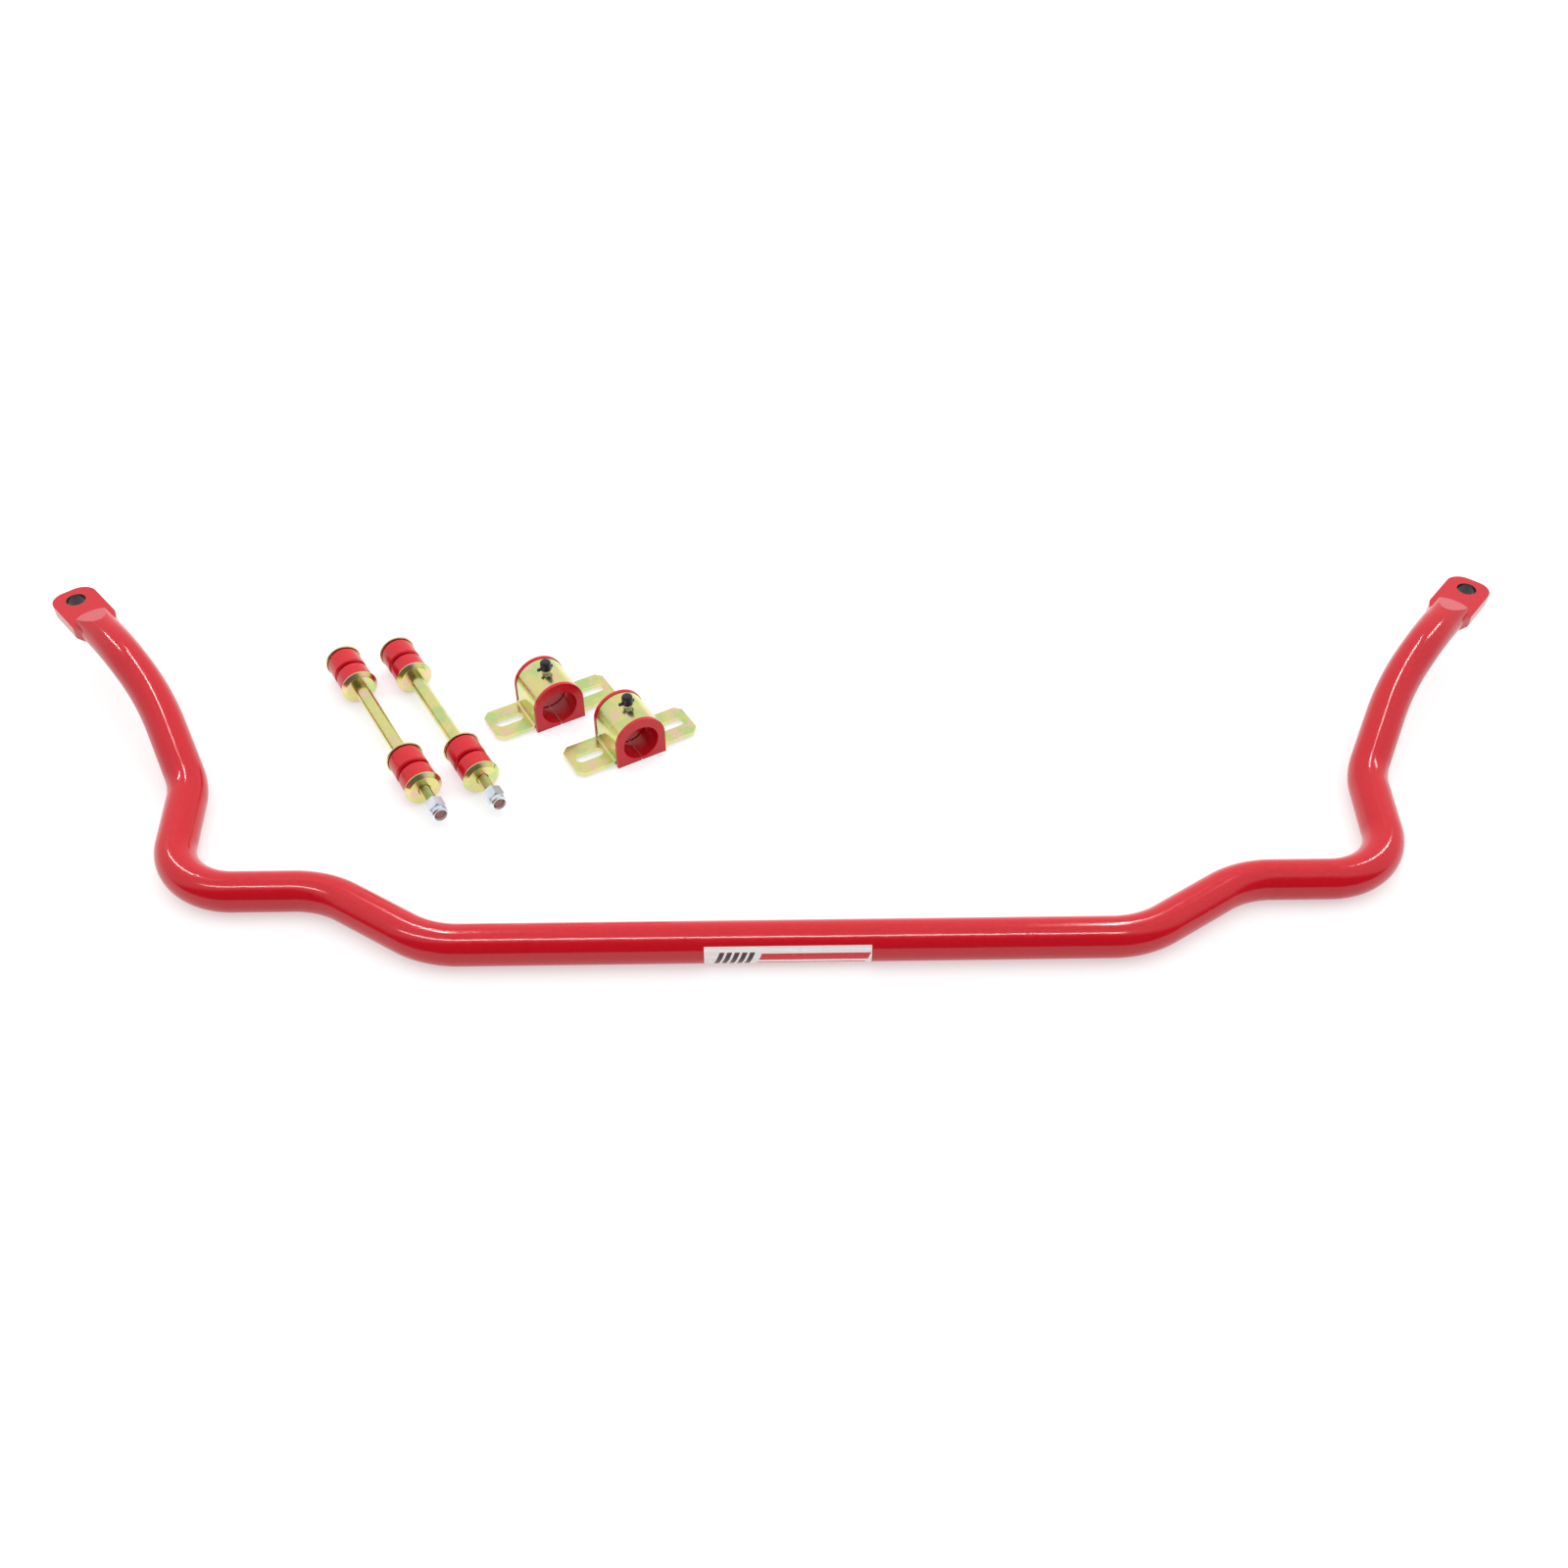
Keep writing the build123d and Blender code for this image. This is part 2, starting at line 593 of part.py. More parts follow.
def fitting_cap(base):
    """The soft dust cap, open below, with the stub of its strap sticking out."""
    cap_foot = FITTING_HEX_HEIGHT + 0.6
    cap_top = cap_foot + CAP_HEIGHT
    with BuildPart() as cap:
        with BuildSketch(upright(base)):
            with BuildLine():
                Polyline(
                    (FITTING_HEAD_RADIUS + 0.15, cap_foot),
                    (CAP_RADIUS, cap_foot),
                    (CAP_RADIUS, cap_top - 2.2),
                    (CAP_RADIUS - 0.6, cap_top - 0.9),
                    (CAP_RADIUS - 2.0, cap_top),
                    (0, cap_top),
                    (0, FITTING_HEIGHT + 0.15),
                    (FITTING_HEAD_RADIUS - 1.1, FITTING_HEIGHT + 0.15),
                    (FITTING_HEAD_RADIUS + 0.15, FITTING_HEX_HEIGHT + 5.8),
                    close=True,
                )
            make_face()
        revolve(axis=Axis(base.origin, up))
        with BuildSketch(base.offset(strap_top + cap_foot + 0.3)):
            with Locations((-CAP_RADIUS, 0)):
                SlotOverall(2 * CAP_TAB, 2.2)
            with Locations((CAP_RADIUS, 0)):
                SlotOverall(CAP_TAB, 2.2)
            Circle(CAP_RADIUS - CAP_WALL / 2, mode=Mode.SUBTRACT)
        extrude(amount=1.8)
    return cap


# Where each bracket stands, seen from the middle of the centre run.
brackets = {
    "a": (-199.7, 282.2, 0.0),
    "b": (-128.0, 236.0, 0.0),
}
for name, centre in brackets.items():
    across = Vector(cos(radians(BRACKET_TURN)), sin(radians(BRACKET_TURN)))
    base = Plane(origin=place(centre), x_dir=across, z_dir=(0, 0, 1))
    pieces = {
        "strap": bracket_strap(base),
        "bushing": bracket_bushing(base),
        "grease_fitting": grease_fitting(base),
        "check_ball": check_ball(base),
        "check_spring": check_spring(base),
        "fitting_cap": fitting_cap(base),
    }
    for piece, solid in pieces.items():
        finish(solid, f"bracket_{name}_{piece}")
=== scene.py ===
"""A red sway bar laid out with its two end links and its two greasable bushing brackets."""

import json
import math

import bmesh
import bpy
from mathutils import Matrix, Vector

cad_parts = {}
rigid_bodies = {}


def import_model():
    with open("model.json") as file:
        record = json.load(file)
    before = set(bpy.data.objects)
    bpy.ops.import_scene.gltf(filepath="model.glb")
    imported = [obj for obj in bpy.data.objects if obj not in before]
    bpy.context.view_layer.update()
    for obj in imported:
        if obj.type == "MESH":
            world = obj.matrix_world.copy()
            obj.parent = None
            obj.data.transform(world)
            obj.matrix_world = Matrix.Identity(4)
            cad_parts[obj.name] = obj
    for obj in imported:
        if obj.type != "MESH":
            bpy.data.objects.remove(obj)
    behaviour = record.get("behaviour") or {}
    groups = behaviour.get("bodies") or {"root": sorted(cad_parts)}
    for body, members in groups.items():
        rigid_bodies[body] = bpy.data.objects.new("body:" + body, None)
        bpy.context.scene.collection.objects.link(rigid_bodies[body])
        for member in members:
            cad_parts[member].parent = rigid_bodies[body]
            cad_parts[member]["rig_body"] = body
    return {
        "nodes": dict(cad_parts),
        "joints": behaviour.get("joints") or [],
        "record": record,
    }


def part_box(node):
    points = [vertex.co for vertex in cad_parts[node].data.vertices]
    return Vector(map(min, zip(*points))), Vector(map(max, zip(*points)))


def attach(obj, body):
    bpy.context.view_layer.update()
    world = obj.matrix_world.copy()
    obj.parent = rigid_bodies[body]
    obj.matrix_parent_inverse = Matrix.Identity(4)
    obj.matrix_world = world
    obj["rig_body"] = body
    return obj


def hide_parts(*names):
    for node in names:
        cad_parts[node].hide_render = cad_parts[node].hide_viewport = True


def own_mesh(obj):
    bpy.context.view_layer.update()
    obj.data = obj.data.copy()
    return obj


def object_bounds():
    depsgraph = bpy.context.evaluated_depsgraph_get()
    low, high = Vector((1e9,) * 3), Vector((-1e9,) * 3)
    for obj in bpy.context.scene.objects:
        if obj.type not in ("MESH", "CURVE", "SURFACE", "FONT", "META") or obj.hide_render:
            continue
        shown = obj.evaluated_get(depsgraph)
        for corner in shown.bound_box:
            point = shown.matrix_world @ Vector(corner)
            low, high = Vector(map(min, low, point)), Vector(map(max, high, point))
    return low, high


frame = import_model()

bl_info = {
    "name": "Sway Bar Kit",
    "version": (1, 0, 0),
    "blender": (4, 5, 0),
    "location": "3D View > Sidebar > Sway Bar",
    "description": "Builds the looks of a sway bar with its end links and bushing brackets",
    "category": "Object",
}

CAD_BOX = [list(corner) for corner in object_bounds()]
NODES = frame["nodes"]
MM = 0.001
LINKS = ("a", "b")
BRACKETS = ("a", "b")
UP = Vector((0, 0, 1))
OVERLAP = 1 * MM  # how far solids reach into each other before they are joined or cut
WELD = 1e-6  # points closer than this are one point
FLAT = math.radians(0.6)  # facets that meet at less than this are one facet
KINK = 481.5 * MM  # middle of the bar to the arm's kink
KINK_BACK = 171.5 * MM  # how far the kink stands behind the run's middle
CURVE = 524 * MM  # middle of the bar to the arm's long curve
CURVE_BACK = 269.375 * MM  # how far the long curve stands behind the run's front
CURVE_HEIGHT = 44 * MM  # height of the long curve's corner point
SHOULDER_BEND = 8 * MM  # radius where the eye starts to narrow


# ---------------------------------------------------------------- places, from the record

def joint_named(name):
    """The record's entry for one joint."""
    return next(joint for joint in frame["joints"] if joint["name"] == name)


def mount_named(name):
    """The record's entry for one mount."""
    return next(mount for mount in frame["record"]["mounts"] if mount["name"] == name)


def body_of_node(node):
    """The body that a CAD node belongs to."""
    return NODES[node]["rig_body"]


def link_axis(link):
    """Where a link's bolt starts, under its head, and the way it points."""
    turn = joint_named(f"link_{link}_nut_turn")
    return Vector(turn["pos_m"]), Vector(turn["axis"]).normalized()


def axis_matrix(origin, direction):
    """A frame at origin with its Z along direction and its X as near to up as it can be."""
    side = (UP - direction * UP.dot(direction)).normalized()
    across = direction.cross(side)
    rows = Matrix((side, across, direction)).transposed().to_4x4()
    rows.translation = origin
    return rows


# ---------------------------------------------------------------- settings

def length(name, description, default):
    """A length in metres that a user may change."""
    return bpy.props.FloatProperty(
        name=name, description=description, default=default, subtype="DISTANCE", unit="LENGTH", precision=5
    )


def colour(name, description, default):
    """A surface colour that a user may change."""
    return bpy.props.FloatVectorProperty(
        name=name, description=description, default=default, size=3, subtype="COLOR", min=0, max=1
    )


class BarSettings(bpy.types.PropertyGroup):
    """Sizes of the bent bar and its forged eyes."""

    radius: length("Bar radius", "Half the bar's diameter", 15.875 * MM)
    sides: bpy.props.IntProperty(name="Sides", description="Faces round the bar", default=96, min=24)
    front_bend: length("Front bend", "Middle of the bar to where it turns back", 264.5 * MM)
    back_bend: length("Back bend", "Middle of the bar to where it runs straight again", 351 * MM)
    step_back: length("Step back", "How far the ends of the run stand behind its middle", 56 * MM)
    corner: length("Corner", "Middle of the bar to the corner where the arm starts", 471 * MM)
    offset_bend: length("Offset bend radius", "Bend radius of the two offsets", 78 * MM)
    corner_bend: length("Corner bend radius", "Bend radius of the corner", 56 * MM)
    kink_bend: length("Kink bend radius", "Bend radius of the arm's kink", 62 * MM)
    arm_bend: length("Arm bend radius", "Bend radius of the arm's long curve", 300 * MM)
    level_bend: length("Level bend radius", "Bend radius where the arm levels out", 150 * MM)
    level_reach: length("Level bend to eye", "From the hole back to the level bend", 84 * MM)
    eye_width: length("Eye width", "Width of the flat eye", 38 * MM)
    eye_thickness: length("Eye thickness", "Thickness of the flat eye", 11 * MM)
    eye_corner: length("Eye corner radius", "Radius of the eye's outer corners", 14 * MM)
    eye_tip: length("Eye tip", "From the hole to the end of the eye", 16.5 * MM)
    eye_shoulder: length("Eye shoulder", "From the hole back to where the eye starts to narrow", 37 * MM)
    eye_taper: length("Eye taper end", "From the hole back to where the eye is lost in the bar", 52 * MM)
    eye_taper_half: length("Eye taper half width", "Half the eye's width at the end of its taper", 13.5 * MM)
    nose_reach: length("Nose to eye", "From the hole back to the centre of the nose", 40.5 * MM)
    nose_radius: length("Nose radius", "Radius of the nose where it meets the eye", 15.5 * MM)
    nose_crown: length("Nose crown radius", "Radius of the nose at its crown", 14 * MM)
    nose_lip: length("Nose lip", "Height of the nose's front above the eye", 1.2 * MM)
    slope_reach: length("Slope to eye", "From the hole back to the start of the slope", 55 * MM)
    edge: length("Eye edge radius", "Rounding of the forged edges", 0.9 * MM)


class ThreadSettings(bpy.types.PropertyGroup):
    """The thread at the end of each link's bolt."""

    pitch: length("Pitch", "Distance from one turn to the next", 25.4 / 16 * MM)
    crest: length("Crest radius", "Radius at the top of the thread", 4.74 * MM)
    root: length("Root radius", "Radius at the bottom of the thread", 4.0 * MM)
    start: length("Thread start", "Along the bolt, to where the thread starts", 188 * MM)
    end: length("Thread end", "Along the bolt, to its end", 228.6 * MM)


class FinishSettings(bpy.types.PropertyGroup):
    bar_red: colour("Bar red", "Powder coat of the bar", (0.56, 0.002, 0.012))
    # Bare steel of the eyes' holes, made darker as painted shade of the hole walls.
    bore_steel_and_shade: colour("Bore steel and shade", "Bare steel in the eyes' holes", (0.035, 0.026, 0.030))
    bushing_red: colour("Bushing red", "Moulded polyurethane", (0.62, 0.004, 0.014))
    zinc_gold: colour("Zinc gold", "Main tint of the yellow zinc", (0.82, 0.78, 0.30))
    zinc_green: colour("Zinc green", "Green tint of the yellow zinc", (0.60, 0.76, 0.30))
    zinc_pink: colour("Zinc pink", "Pink tint of the yellow zinc", (0.92, 0.66, 0.46))
    zinc_clear: colour("Clear zinc", "Main tint of the clear zinc", (0.90, 0.95, 1.0))
    zinc_blue: colour("Zinc blue", "Blue tint of the clear zinc", (0.72, 0.84, 0.96))
    zinc_steel: colour("Zinc steel", "Grey tint of the clear zinc", (0.84, 0.84, 0.86))
    # Painted shade and painted reflection of the bolt ends where they sit recessed in the nuts.
    shaded_bolt_end: colour("Bolt end", "Sawn end of the link bolts", (0.34, 0.17, 0.15))
    nylon: colour("Nylon", "Locking ring of the nuts", (0.78, 0.62, 0.60))
    cap: colour("Cap", "Plastic cap on the grease fitting", (0.012, 0.014, 0.016))
    film: colour("Label film", "Ground of the label", (0.93, 0.93, 0.92))
    ink_dark: colour("Dark ink", "Dark stripes of the label", (0.015, 0.015, 0.018))
    ink_red: colour("Red ink", "Red stripes of the label", (0.70, 0.01, 0.02))
    edge: length("Edge radius", "Rounding of stamped and cut steel edges", 0.35 * MM)
    moulded_edge: length("Moulded edge radius", "Rounding of moulded edges", 0.7 * MM)


class StageSettings(bpy.types.PropertyGroup):
    """Camera, floor and lamps."""

    camera: bpy.props.FloatVectorProperty(
        name="Camera place", description="Where the camera stands", size=3, subtype="XYZ", unit="LENGTH",
        default=(-0.02672, -0.94271, 0.89839),
    )
    pan: bpy.props.FloatProperty(
        name="Pan", description="Turn of the camera to the right", subtype="ANGLE",
        default=math.radians(1.724),
    )
    tilt: bpy.props.FloatProperty(
        name="Tilt", description="Turn of the camera down", default=math.radians(43.5), subtype="ANGLE"
    )
    roll: bpy.props.FloatProperty(
        name="Roll", description="Turn of the camera about its view", subtype="ANGLE",
        default=math.radians(0.59),
    )
    lens: bpy.props.FloatProperty(name="Lens", description="Focal length in mm", default=36, min=1)
    sky: bpy.props.FloatProperty(
        name="Sky", description="Light of the room's bright side", default=0.9, min=0
    )
    sun: bpy.props.FloatProperty(
        name="Sun", description="Strength of the wide overhead lamp", default=2.0, min=0
    )
    floor: length("Floor size", "Width of the floor", 30.0)


def settings(name):
    """One group of this add-on's settings on the scene."""
    return getattr(bpy.context.scene, name)


# ---------------------------------------------------------------- shader groups and finishes

def shader_group(name, inputs, outputs):
    """An empty shader group with named sockets, and its input and output nodes."""
    tree = bpy.data.node_groups.new(name, "ShaderNodeTree")
    for label, kind, default in inputs:
        socket = tree.interface.new_socket(label, in_out="INPUT", socket_type=kind)
        socket.default_value = default
    for label, kind in outputs:
        tree.interface.new_socket(label, in_out="OUTPUT", socket_type=kind)
    return tree, tree.nodes.new("NodeGroupInput"), tree.nodes.new("NodeGroupOutput")


def join(tree, value, socket):
    """Give a socket its value: another node's output, a plain number or a colour."""
    if isinstance(value, bpy.types.NodeSocket):
        tree.links.new(value, socket)
    else:
        socket.default_value = value


def calc(tree, operation, first, second=0.0):
    """A math node on sockets or plain numbers."""
    node = tree.nodes.new("ShaderNodeMath")
    node.operation = operation
    join(tree, first, node.inputs[0])
    join(tree, second, node.inputs[1])
    return node.outputs[0]


def mix_colour(tree, factor, first, second):
    """Go from one colour to another by a factor."""
    mix = tree.nodes.new("ShaderNodeMix")
    mix.data_type = "RGBA"
    join(tree, factor, mix.inputs["Factor"])
    join(tree, first, mix.inputs[6])
    join(tree, second, mix.inputs[7])
    return mix.outputs[2]


def object_axes(tree):
    """X, Y and Z of the object coordinates."""
    coordinates = tree.nodes.new("ShaderNodeTexCoord")
    axes = tree.nodes.new("ShaderNodeSeparateXYZ")
    tree.links.new(coordinates.outputs["Object"], axes.inputs[0])
    return axes.outputs


def noise(tree, scale_from, detail, stretch=None):
    """A noise texture on object coordinates whose grain size in metres comes from a socket."""
    coordinates = tree.nodes.new("ShaderNodeTexCoord")
    texture = tree.nodes.new("ShaderNodeTexNoise")
    texture.inputs["Detail"].default_value = detail
    source = coordinates.outputs["Object"]
    if stretch:
        mapping = tree.nodes.new("ShaderNodeMapping")
        mapping.inputs["Scale"].default_value = stretch
        tree.links.new(source, mapping.inputs["Vector"])
        source = mapping.outputs["Vector"]
    tree.links.new(source, texture.inputs["Vector"])
    tree.links.new(calc(tree, "DIVIDE", 1.0, scale_from), texture.inputs["Scale"])
    return texture.outputs["Fac"]


def spread(tree, value, low, high):
    """Map the middle of a noise's values onto the range from low to high."""
    ramp = tree.nodes.new("ShaderNodeMapRange")
    ramp.inputs["From Min"].default_value = 0.3
    ramp.inputs["From Max"].default_value = 0.7
    tree.links.new(value, ramp.inputs["Value"])
    join(tree, low, ramp.inputs["To Min"])
    join(tree, high, ramp.inputs["To Max"])
    return ramp.outputs["Result"]


def grain_group():
    """Two sizes of grain, for a bump, a roughness and a slight change of shade."""
    tree, source, sink = shader_group(
        "Surface grain",
        [
            ("Coarse size", "NodeSocketFloat", 0.003),
            ("Fine size", "NodeSocketFloat", 0.0004),
            ("Fine share", "NodeSocketFloat", 0.3),
            ("Smooth", "NodeSocketFloat", 0.25),
            ("Rough", "NodeSocketFloat", 0.4),
            ("Colour", "NodeSocketColor", (0.5, 0.5, 0.5, 1)),
            ("Shade", "NodeSocketFloat", 0.1),
        ],
        [("Height", "NodeSocketFloat"), ("Roughness", "NodeSocketFloat"), ("Colour", "NodeSocketColor")],
    )
    coarse = noise(tree, source.outputs["Coarse size"], 2)
    fine = noise(tree, source.outputs["Fine size"], 3)
    mix = tree.nodes.new("ShaderNodeMix")
    tree.links.new(source.outputs["Fine share"], mix.inputs["Factor"])
    tree.links.new(coarse, mix.inputs["A"])
    tree.links.new(fine, mix.inputs["B"])
    tree.links.new(mix.outputs["Result"], sink.inputs["Height"])
    rough = spread(tree, coarse, source.outputs["Smooth"], source.outputs["Rough"])
    tree.links.new(rough, sink.inputs["Roughness"])
    darkest = calc(tree, "SUBTRACT", 1.0, source.outputs["Shade"])
    value = spread(tree, mix.outputs["Result"], darkest, 1.0)
    tint = tree.nodes.new("ShaderNodeVectorMath")
    tint.operation = "SCALE"
    tree.links.new(source.outputs["Colour"], tint.inputs[0])
    tree.links.new(value, tint.inputs["Scale"])
    tree.links.new(tint.outputs[0], sink.inputs["Colour"])
    return tree


def plating_group():
    """Drifting tints of a passivated zinc plate."""
    tree, source, sink = shader_group(
        "Plating tints",
        [
            ("Patch size", "NodeSocketFloat", 0.012),
            ("Main", "NodeSocketColor", (0.8, 0.7, 0.4, 1)),
            ("Second", "NodeSocketColor", (0.6, 0.8, 0.4, 1)),
            ("Third", "NodeSocketColor", (0.9, 0.6, 0.5, 1)),
        ],
        [("Colour", "NodeSocketColor")],
    )
    first = noise(tree, source.outputs["Patch size"], 2)
    second = noise(tree, source.outputs["Patch size"], 3, (1.9, 1.6, 2.3))
    colour_from = source.outputs["Main"]
    for value, tinted, low, high in ((first, "Second", 0.46, 0.62), (second, "Third", 0.50, 0.66)):
        ramp = tree.nodes.new("ShaderNodeMapRange")
        ramp.interpolation_type = "SMOOTHSTEP"
        ramp.inputs["From Min"].default_value = low
        ramp.inputs["From Max"].default_value = high
        tree.links.new(value, ramp.inputs["Value"])
        colour_from = mix_colour(tree, ramp.outputs["Result"], colour_from, source.outputs[tinted])
    tree.links.new(colour_from, sink.inputs["Colour"])
    return tree


def group_named(name, make):
    """A shader group, built the first time it is asked for."""
    return bpy.data.node_groups.get(name) or make()


def new_finish(name):
    """A material with its Principled shader."""
    material = bpy.data.materials.new(name)
    material.use_nodes = True
    shader = material.node_tree.nodes["Principled BSDF"]
    return material, material.node_tree, shader


def add_grain(tree, shader, values, bump, distance):
    """Place the grain group in a material, and lead it to colour, roughness and a bump."""
    group = tree.nodes.new("ShaderNodeGroup")
    group.node_tree = group_named("Surface grain", grain_group)
    for label, value in values.items():
        group.inputs[label].default_value = value
    tree.links.new(group.outputs["Roughness"], shader.inputs["Roughness"])
    tree.links.new(group.outputs["Colour"], shader.inputs["Base Color"])
    node = tree.nodes.new("ShaderNodeBump")
    node.inputs["Strength"].default_value = bump
    node.inputs["Distance"].default_value = distance
    tree.links.new(group.outputs["Height"], node.inputs["Height"])
    tree.links.new(node.outputs["Normal"], shader.inputs["Normal"])
    return group


def full(rgb):
    """A colour with its alpha."""
    return (*rgb, 1.0)


def powder_coat():
    """Glossy red powder coat with a slight orange peel, and bare steel darkened with painted shade in the
    two eyes' holes.
    """
    finish = settings("sway_bar_finish")
    material, tree, shader = new_finish("Red powder coat")
    group = add_grain(
        tree, shader,
        {
            "Coarse size": 0.0030, "Fine size": 0.0009, "Fine share": 0.25, "Smooth": 0.10, "Rough": 0.17,
            "Shade": 0.10,
        },
        0.12, 0.00008,
    )
    eye = mount_named("eye_right")
    place = object_axes(tree)
    across = calc(tree, "SUBTRACT", calc(tree, "ABSOLUTE", place["X"]), eye["pos_m"][0])
    along = calc(tree, "SUBTRACT", place["Y"], eye["pos_m"][1])
    reach = calc(tree, "ADD", calc(tree, "POWER", across, 2.0), calc(tree, "POWER", along, 2.0))
    # Inside the eyes' holes the coat gives way to bare steel, darkened as painted shade.
    bore = calc(tree, "LESS_THAN", reach, (eye["dims"]["r_mm"] * MM + 0.1 * MM) ** 2)
    colour_from = mix_colour(tree, bore, full(finish.bar_red), full(finish.bore_steel_and_shade))
    tree.links.new(colour_from, group.inputs["Colour"])
    shader.inputs["IOR"].default_value = 1.5
    return material


def polyurethane():
    """Satin red polyurethane with a fine moulded skin."""
    material, tree, shader = new_finish("Red polyurethane")
    add_grain(
        tree, shader,
        {
            "Coarse size": 0.006, "Fine size": 0.0006, "Fine share": 0.3, "Smooth": 0.16, "Rough": 0.26,
            "Colour": full(settings("sway_bar_finish").bushing_red), "Shade": 0.16,
        },
        0.10, 0.00005,
    )
    shader.inputs["IOR"].default_value = 1.48
    return material


def plating(name, main, second, third, smooth, rough):
    """Bright plated steel whose tint drifts over it."""
    material, tree, shader = new_finish(name)
    group = add_grain(
        tree, shader,
        {
            "Coarse size": 0.006, "Fine size": 0.0005, "Fine share": 0.5, "Smooth": smooth,
            "Rough": rough, "Shade": 0.10,
        },
        0.12, 0.00005,
    )
    tints = tree.nodes.new("ShaderNodeGroup")
    tints.node_tree = group_named("Plating tints", plating_group)
    tints.inputs["Patch size"].default_value = 0.02
    for label, tint in (("Main", main), ("Second", second), ("Third", third)):
        tints.inputs[label].default_value = full(tint)
    tree.links.new(tints.outputs["Colour"], group.inputs["Colour"])
    shader.inputs["Metallic"].default_value = 1.0
    return material


def yellow_zinc():
    """Yellow zinc plate with green and pink tints."""
    finish = settings("sway_bar_finish")
    return plating("Yellow zinc", finish.zinc_gold, finish.zinc_green, finish.zinc_pink, 0.17, 0.28)


def clear_zinc():
    """Pale blue-white zinc plate."""
    finish = settings("sway_bar_finish")
    return plating("Clear zinc", finish.zinc_clear, finish.zinc_blue, finish.zinc_steel, 0.24, 0.36)


def nylon():
    """Slightly waxy nylon."""
    material, tree, shader = new_finish("Nylon")
    add_grain(
        tree, shader,
        {
            "Coarse size": 0.002, "Fine size": 0.0003, "Fine share": 0.5, "Smooth": 0.35, "Rough": 0.5,
            "Colour": full(settings("sway_bar_finish").nylon), "Shade": 0.12,
        },
        0.15, 0.00005,
    )
    return material


def cap_plastic():
    """Soft black plastic."""
    material, tree, shader = new_finish("Black cap plastic")
    add_grain(
        tree, shader,
        {
            "Coarse size": 0.003, "Fine size": 0.0003, "Fine share": 0.5, "Smooth": 0.28, "Rough": 0.45,
            "Colour": full(settings("sway_bar_finish").cap), "Shade": 0.3,
        },
        0.25, 0.00006,
    )
    return material


def label_film():
    """White film with plain slanted bars and two long stripes, measured from the label's own box."""
    finish = settings("sway_bar_finish")
    low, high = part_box("bar_label")
    material, tree, shader = new_finish("Label film")
    group = add_grain(
        tree, shader,
        {
            "Coarse size": 0.01, "Fine size": 0.0006, "Fine share": 0.4, "Smooth": 0.18, "Rough": 0.3,
            "Shade": 0.04,
        },
        0.1, 0.00003,
    )
    place = object_axes(tree)

    def band(value, start, end):
        above = calc(tree, "GREATER_THAN", value, start)
        return calc(tree, "MULTIPLY", above, calc(tree, "LESS_THAN", value, end))

    # Shares of the label's length and height.
    lean = 0.06
    bars_per_length = 22.0
    bar_share = 0.66
    stripe_ends = (0.30, 0.95)
    along = calc(tree, "DIVIDE", calc(tree, "SUBTRACT", place["X"], low.x), high.x - low.x)
    rise = calc(tree, "DIVIDE", calc(tree, "SUBTRACT", place["Z"], low.z), high.z - low.z)
    leaning = calc(tree, "SUBTRACT", along, calc(tree, "MULTIPLY", rise, lean))
    repeat = calc(tree, "FRACT", calc(tree, "MULTIPLY", leaning, bars_per_length))
    bars = calc(tree, "LESS_THAN", repeat, bar_share)
    field = calc(tree, "MULTIPLY", band(leaning, 0.0455, 0.2727), band(rise, 0.14, 0.80))
    dark = calc(tree, "MULTIPLY", bars, field)
    long_stripe = calc(tree, "MULTIPLY", band(rise, 0.16, 0.28), band(leaning, *stripe_ends))
    thick_stripe = calc(tree, "MULTIPLY", band(rise, 0.42, 0.74), band(leaning, *stripe_ends))
    red = calc(tree, "MAXIMUM", long_stripe, thick_stripe)
    colour_from = full(finish.film)
    for mask, ink in ((dark, finish.ink_dark), (red, finish.ink_red)):
        colour_from = mix_colour(tree, mask, colour_from, full(ink))
    tree.links.new(colour_from, group.inputs["Colour"])
    return material


def shaded_bolt_end():
    """The link bolts' sawn ends, darkened to a pinkish brown as painted shade of their recess in the nut,
    with a painted reflection.
    """
    material, tree, shader = new_finish("Bolt end with painted shade")
    add_grain(
        tree, shader,
        {
            "Coarse size": 0.002, "Fine size": 0.0003, "Fine share": 0.6, "Smooth": 0.40, "Rough": 0.60,
            "Colour": full(settings("sway_bar_finish").shaded_bolt_end), "Shade": 0.35,
        },
        0.35, 0.00008,
    )
    shader.inputs["Metallic"].default_value = 0.6
    return material


FINISHES = {
    "shaded_bolt_end": ("Bolt end with painted shade", shaded_bolt_end),
    "red_powder_coat": ("Red powder coat", powder_coat),
    "red_polyurethane": ("Red polyurethane", polyurethane),
    "yellow_zinc": ("Yellow zinc", yellow_zinc),
    "clear_zinc": ("Clear zinc", clear_zinc),
    "nylon": ("Nylon", nylon),
    "black_cap": ("Black cap plastic", cap_plastic),
    "label": ("Label film", label_film),
}


def finish_for(slot):
    """The material for one finish, made the first time it is asked for."""
    name, make = FINISHES[slot]
    return bpy.data.materials.get(name) or make()


# ---------------------------------------------------------------- meshes

def add_object(name, mesh):
    """A mesh object in the scene."""
    thing = bpy.data.objects.new(name, mesh)
    bpy.context.scene.collection.objects.link(thing)
    return thing


def mesh_from(name, bm):
    """Write a bmesh to a new mesh."""
    mesh = bpy.data.meshes.new(name)
    bm.to_mesh(mesh)
    bm.free()
    return mesh


def loft(bm, rings):
    """Add a closed solid through rings of equally many points."""
    rows = [[bm.verts.new(point) for point in ring] for ring in rings]
    count = len(rows[0])
    for low, high in zip(rows, rows[1:]):
        for i in range(count):
            j = (i + 1) % count
            bm.faces.new((low[i], low[j], high[j], high[i]))
    bm.faces.new(reversed(rows[0]))
    bm.faces.new(rows[-1])


def circle(radius, count):
    """Points round a circle."""
    angles = [math.tau * i / count for i in range(count)]
    return [(radius * math.cos(angle), radius * math.sin(angle)) for angle in angles]


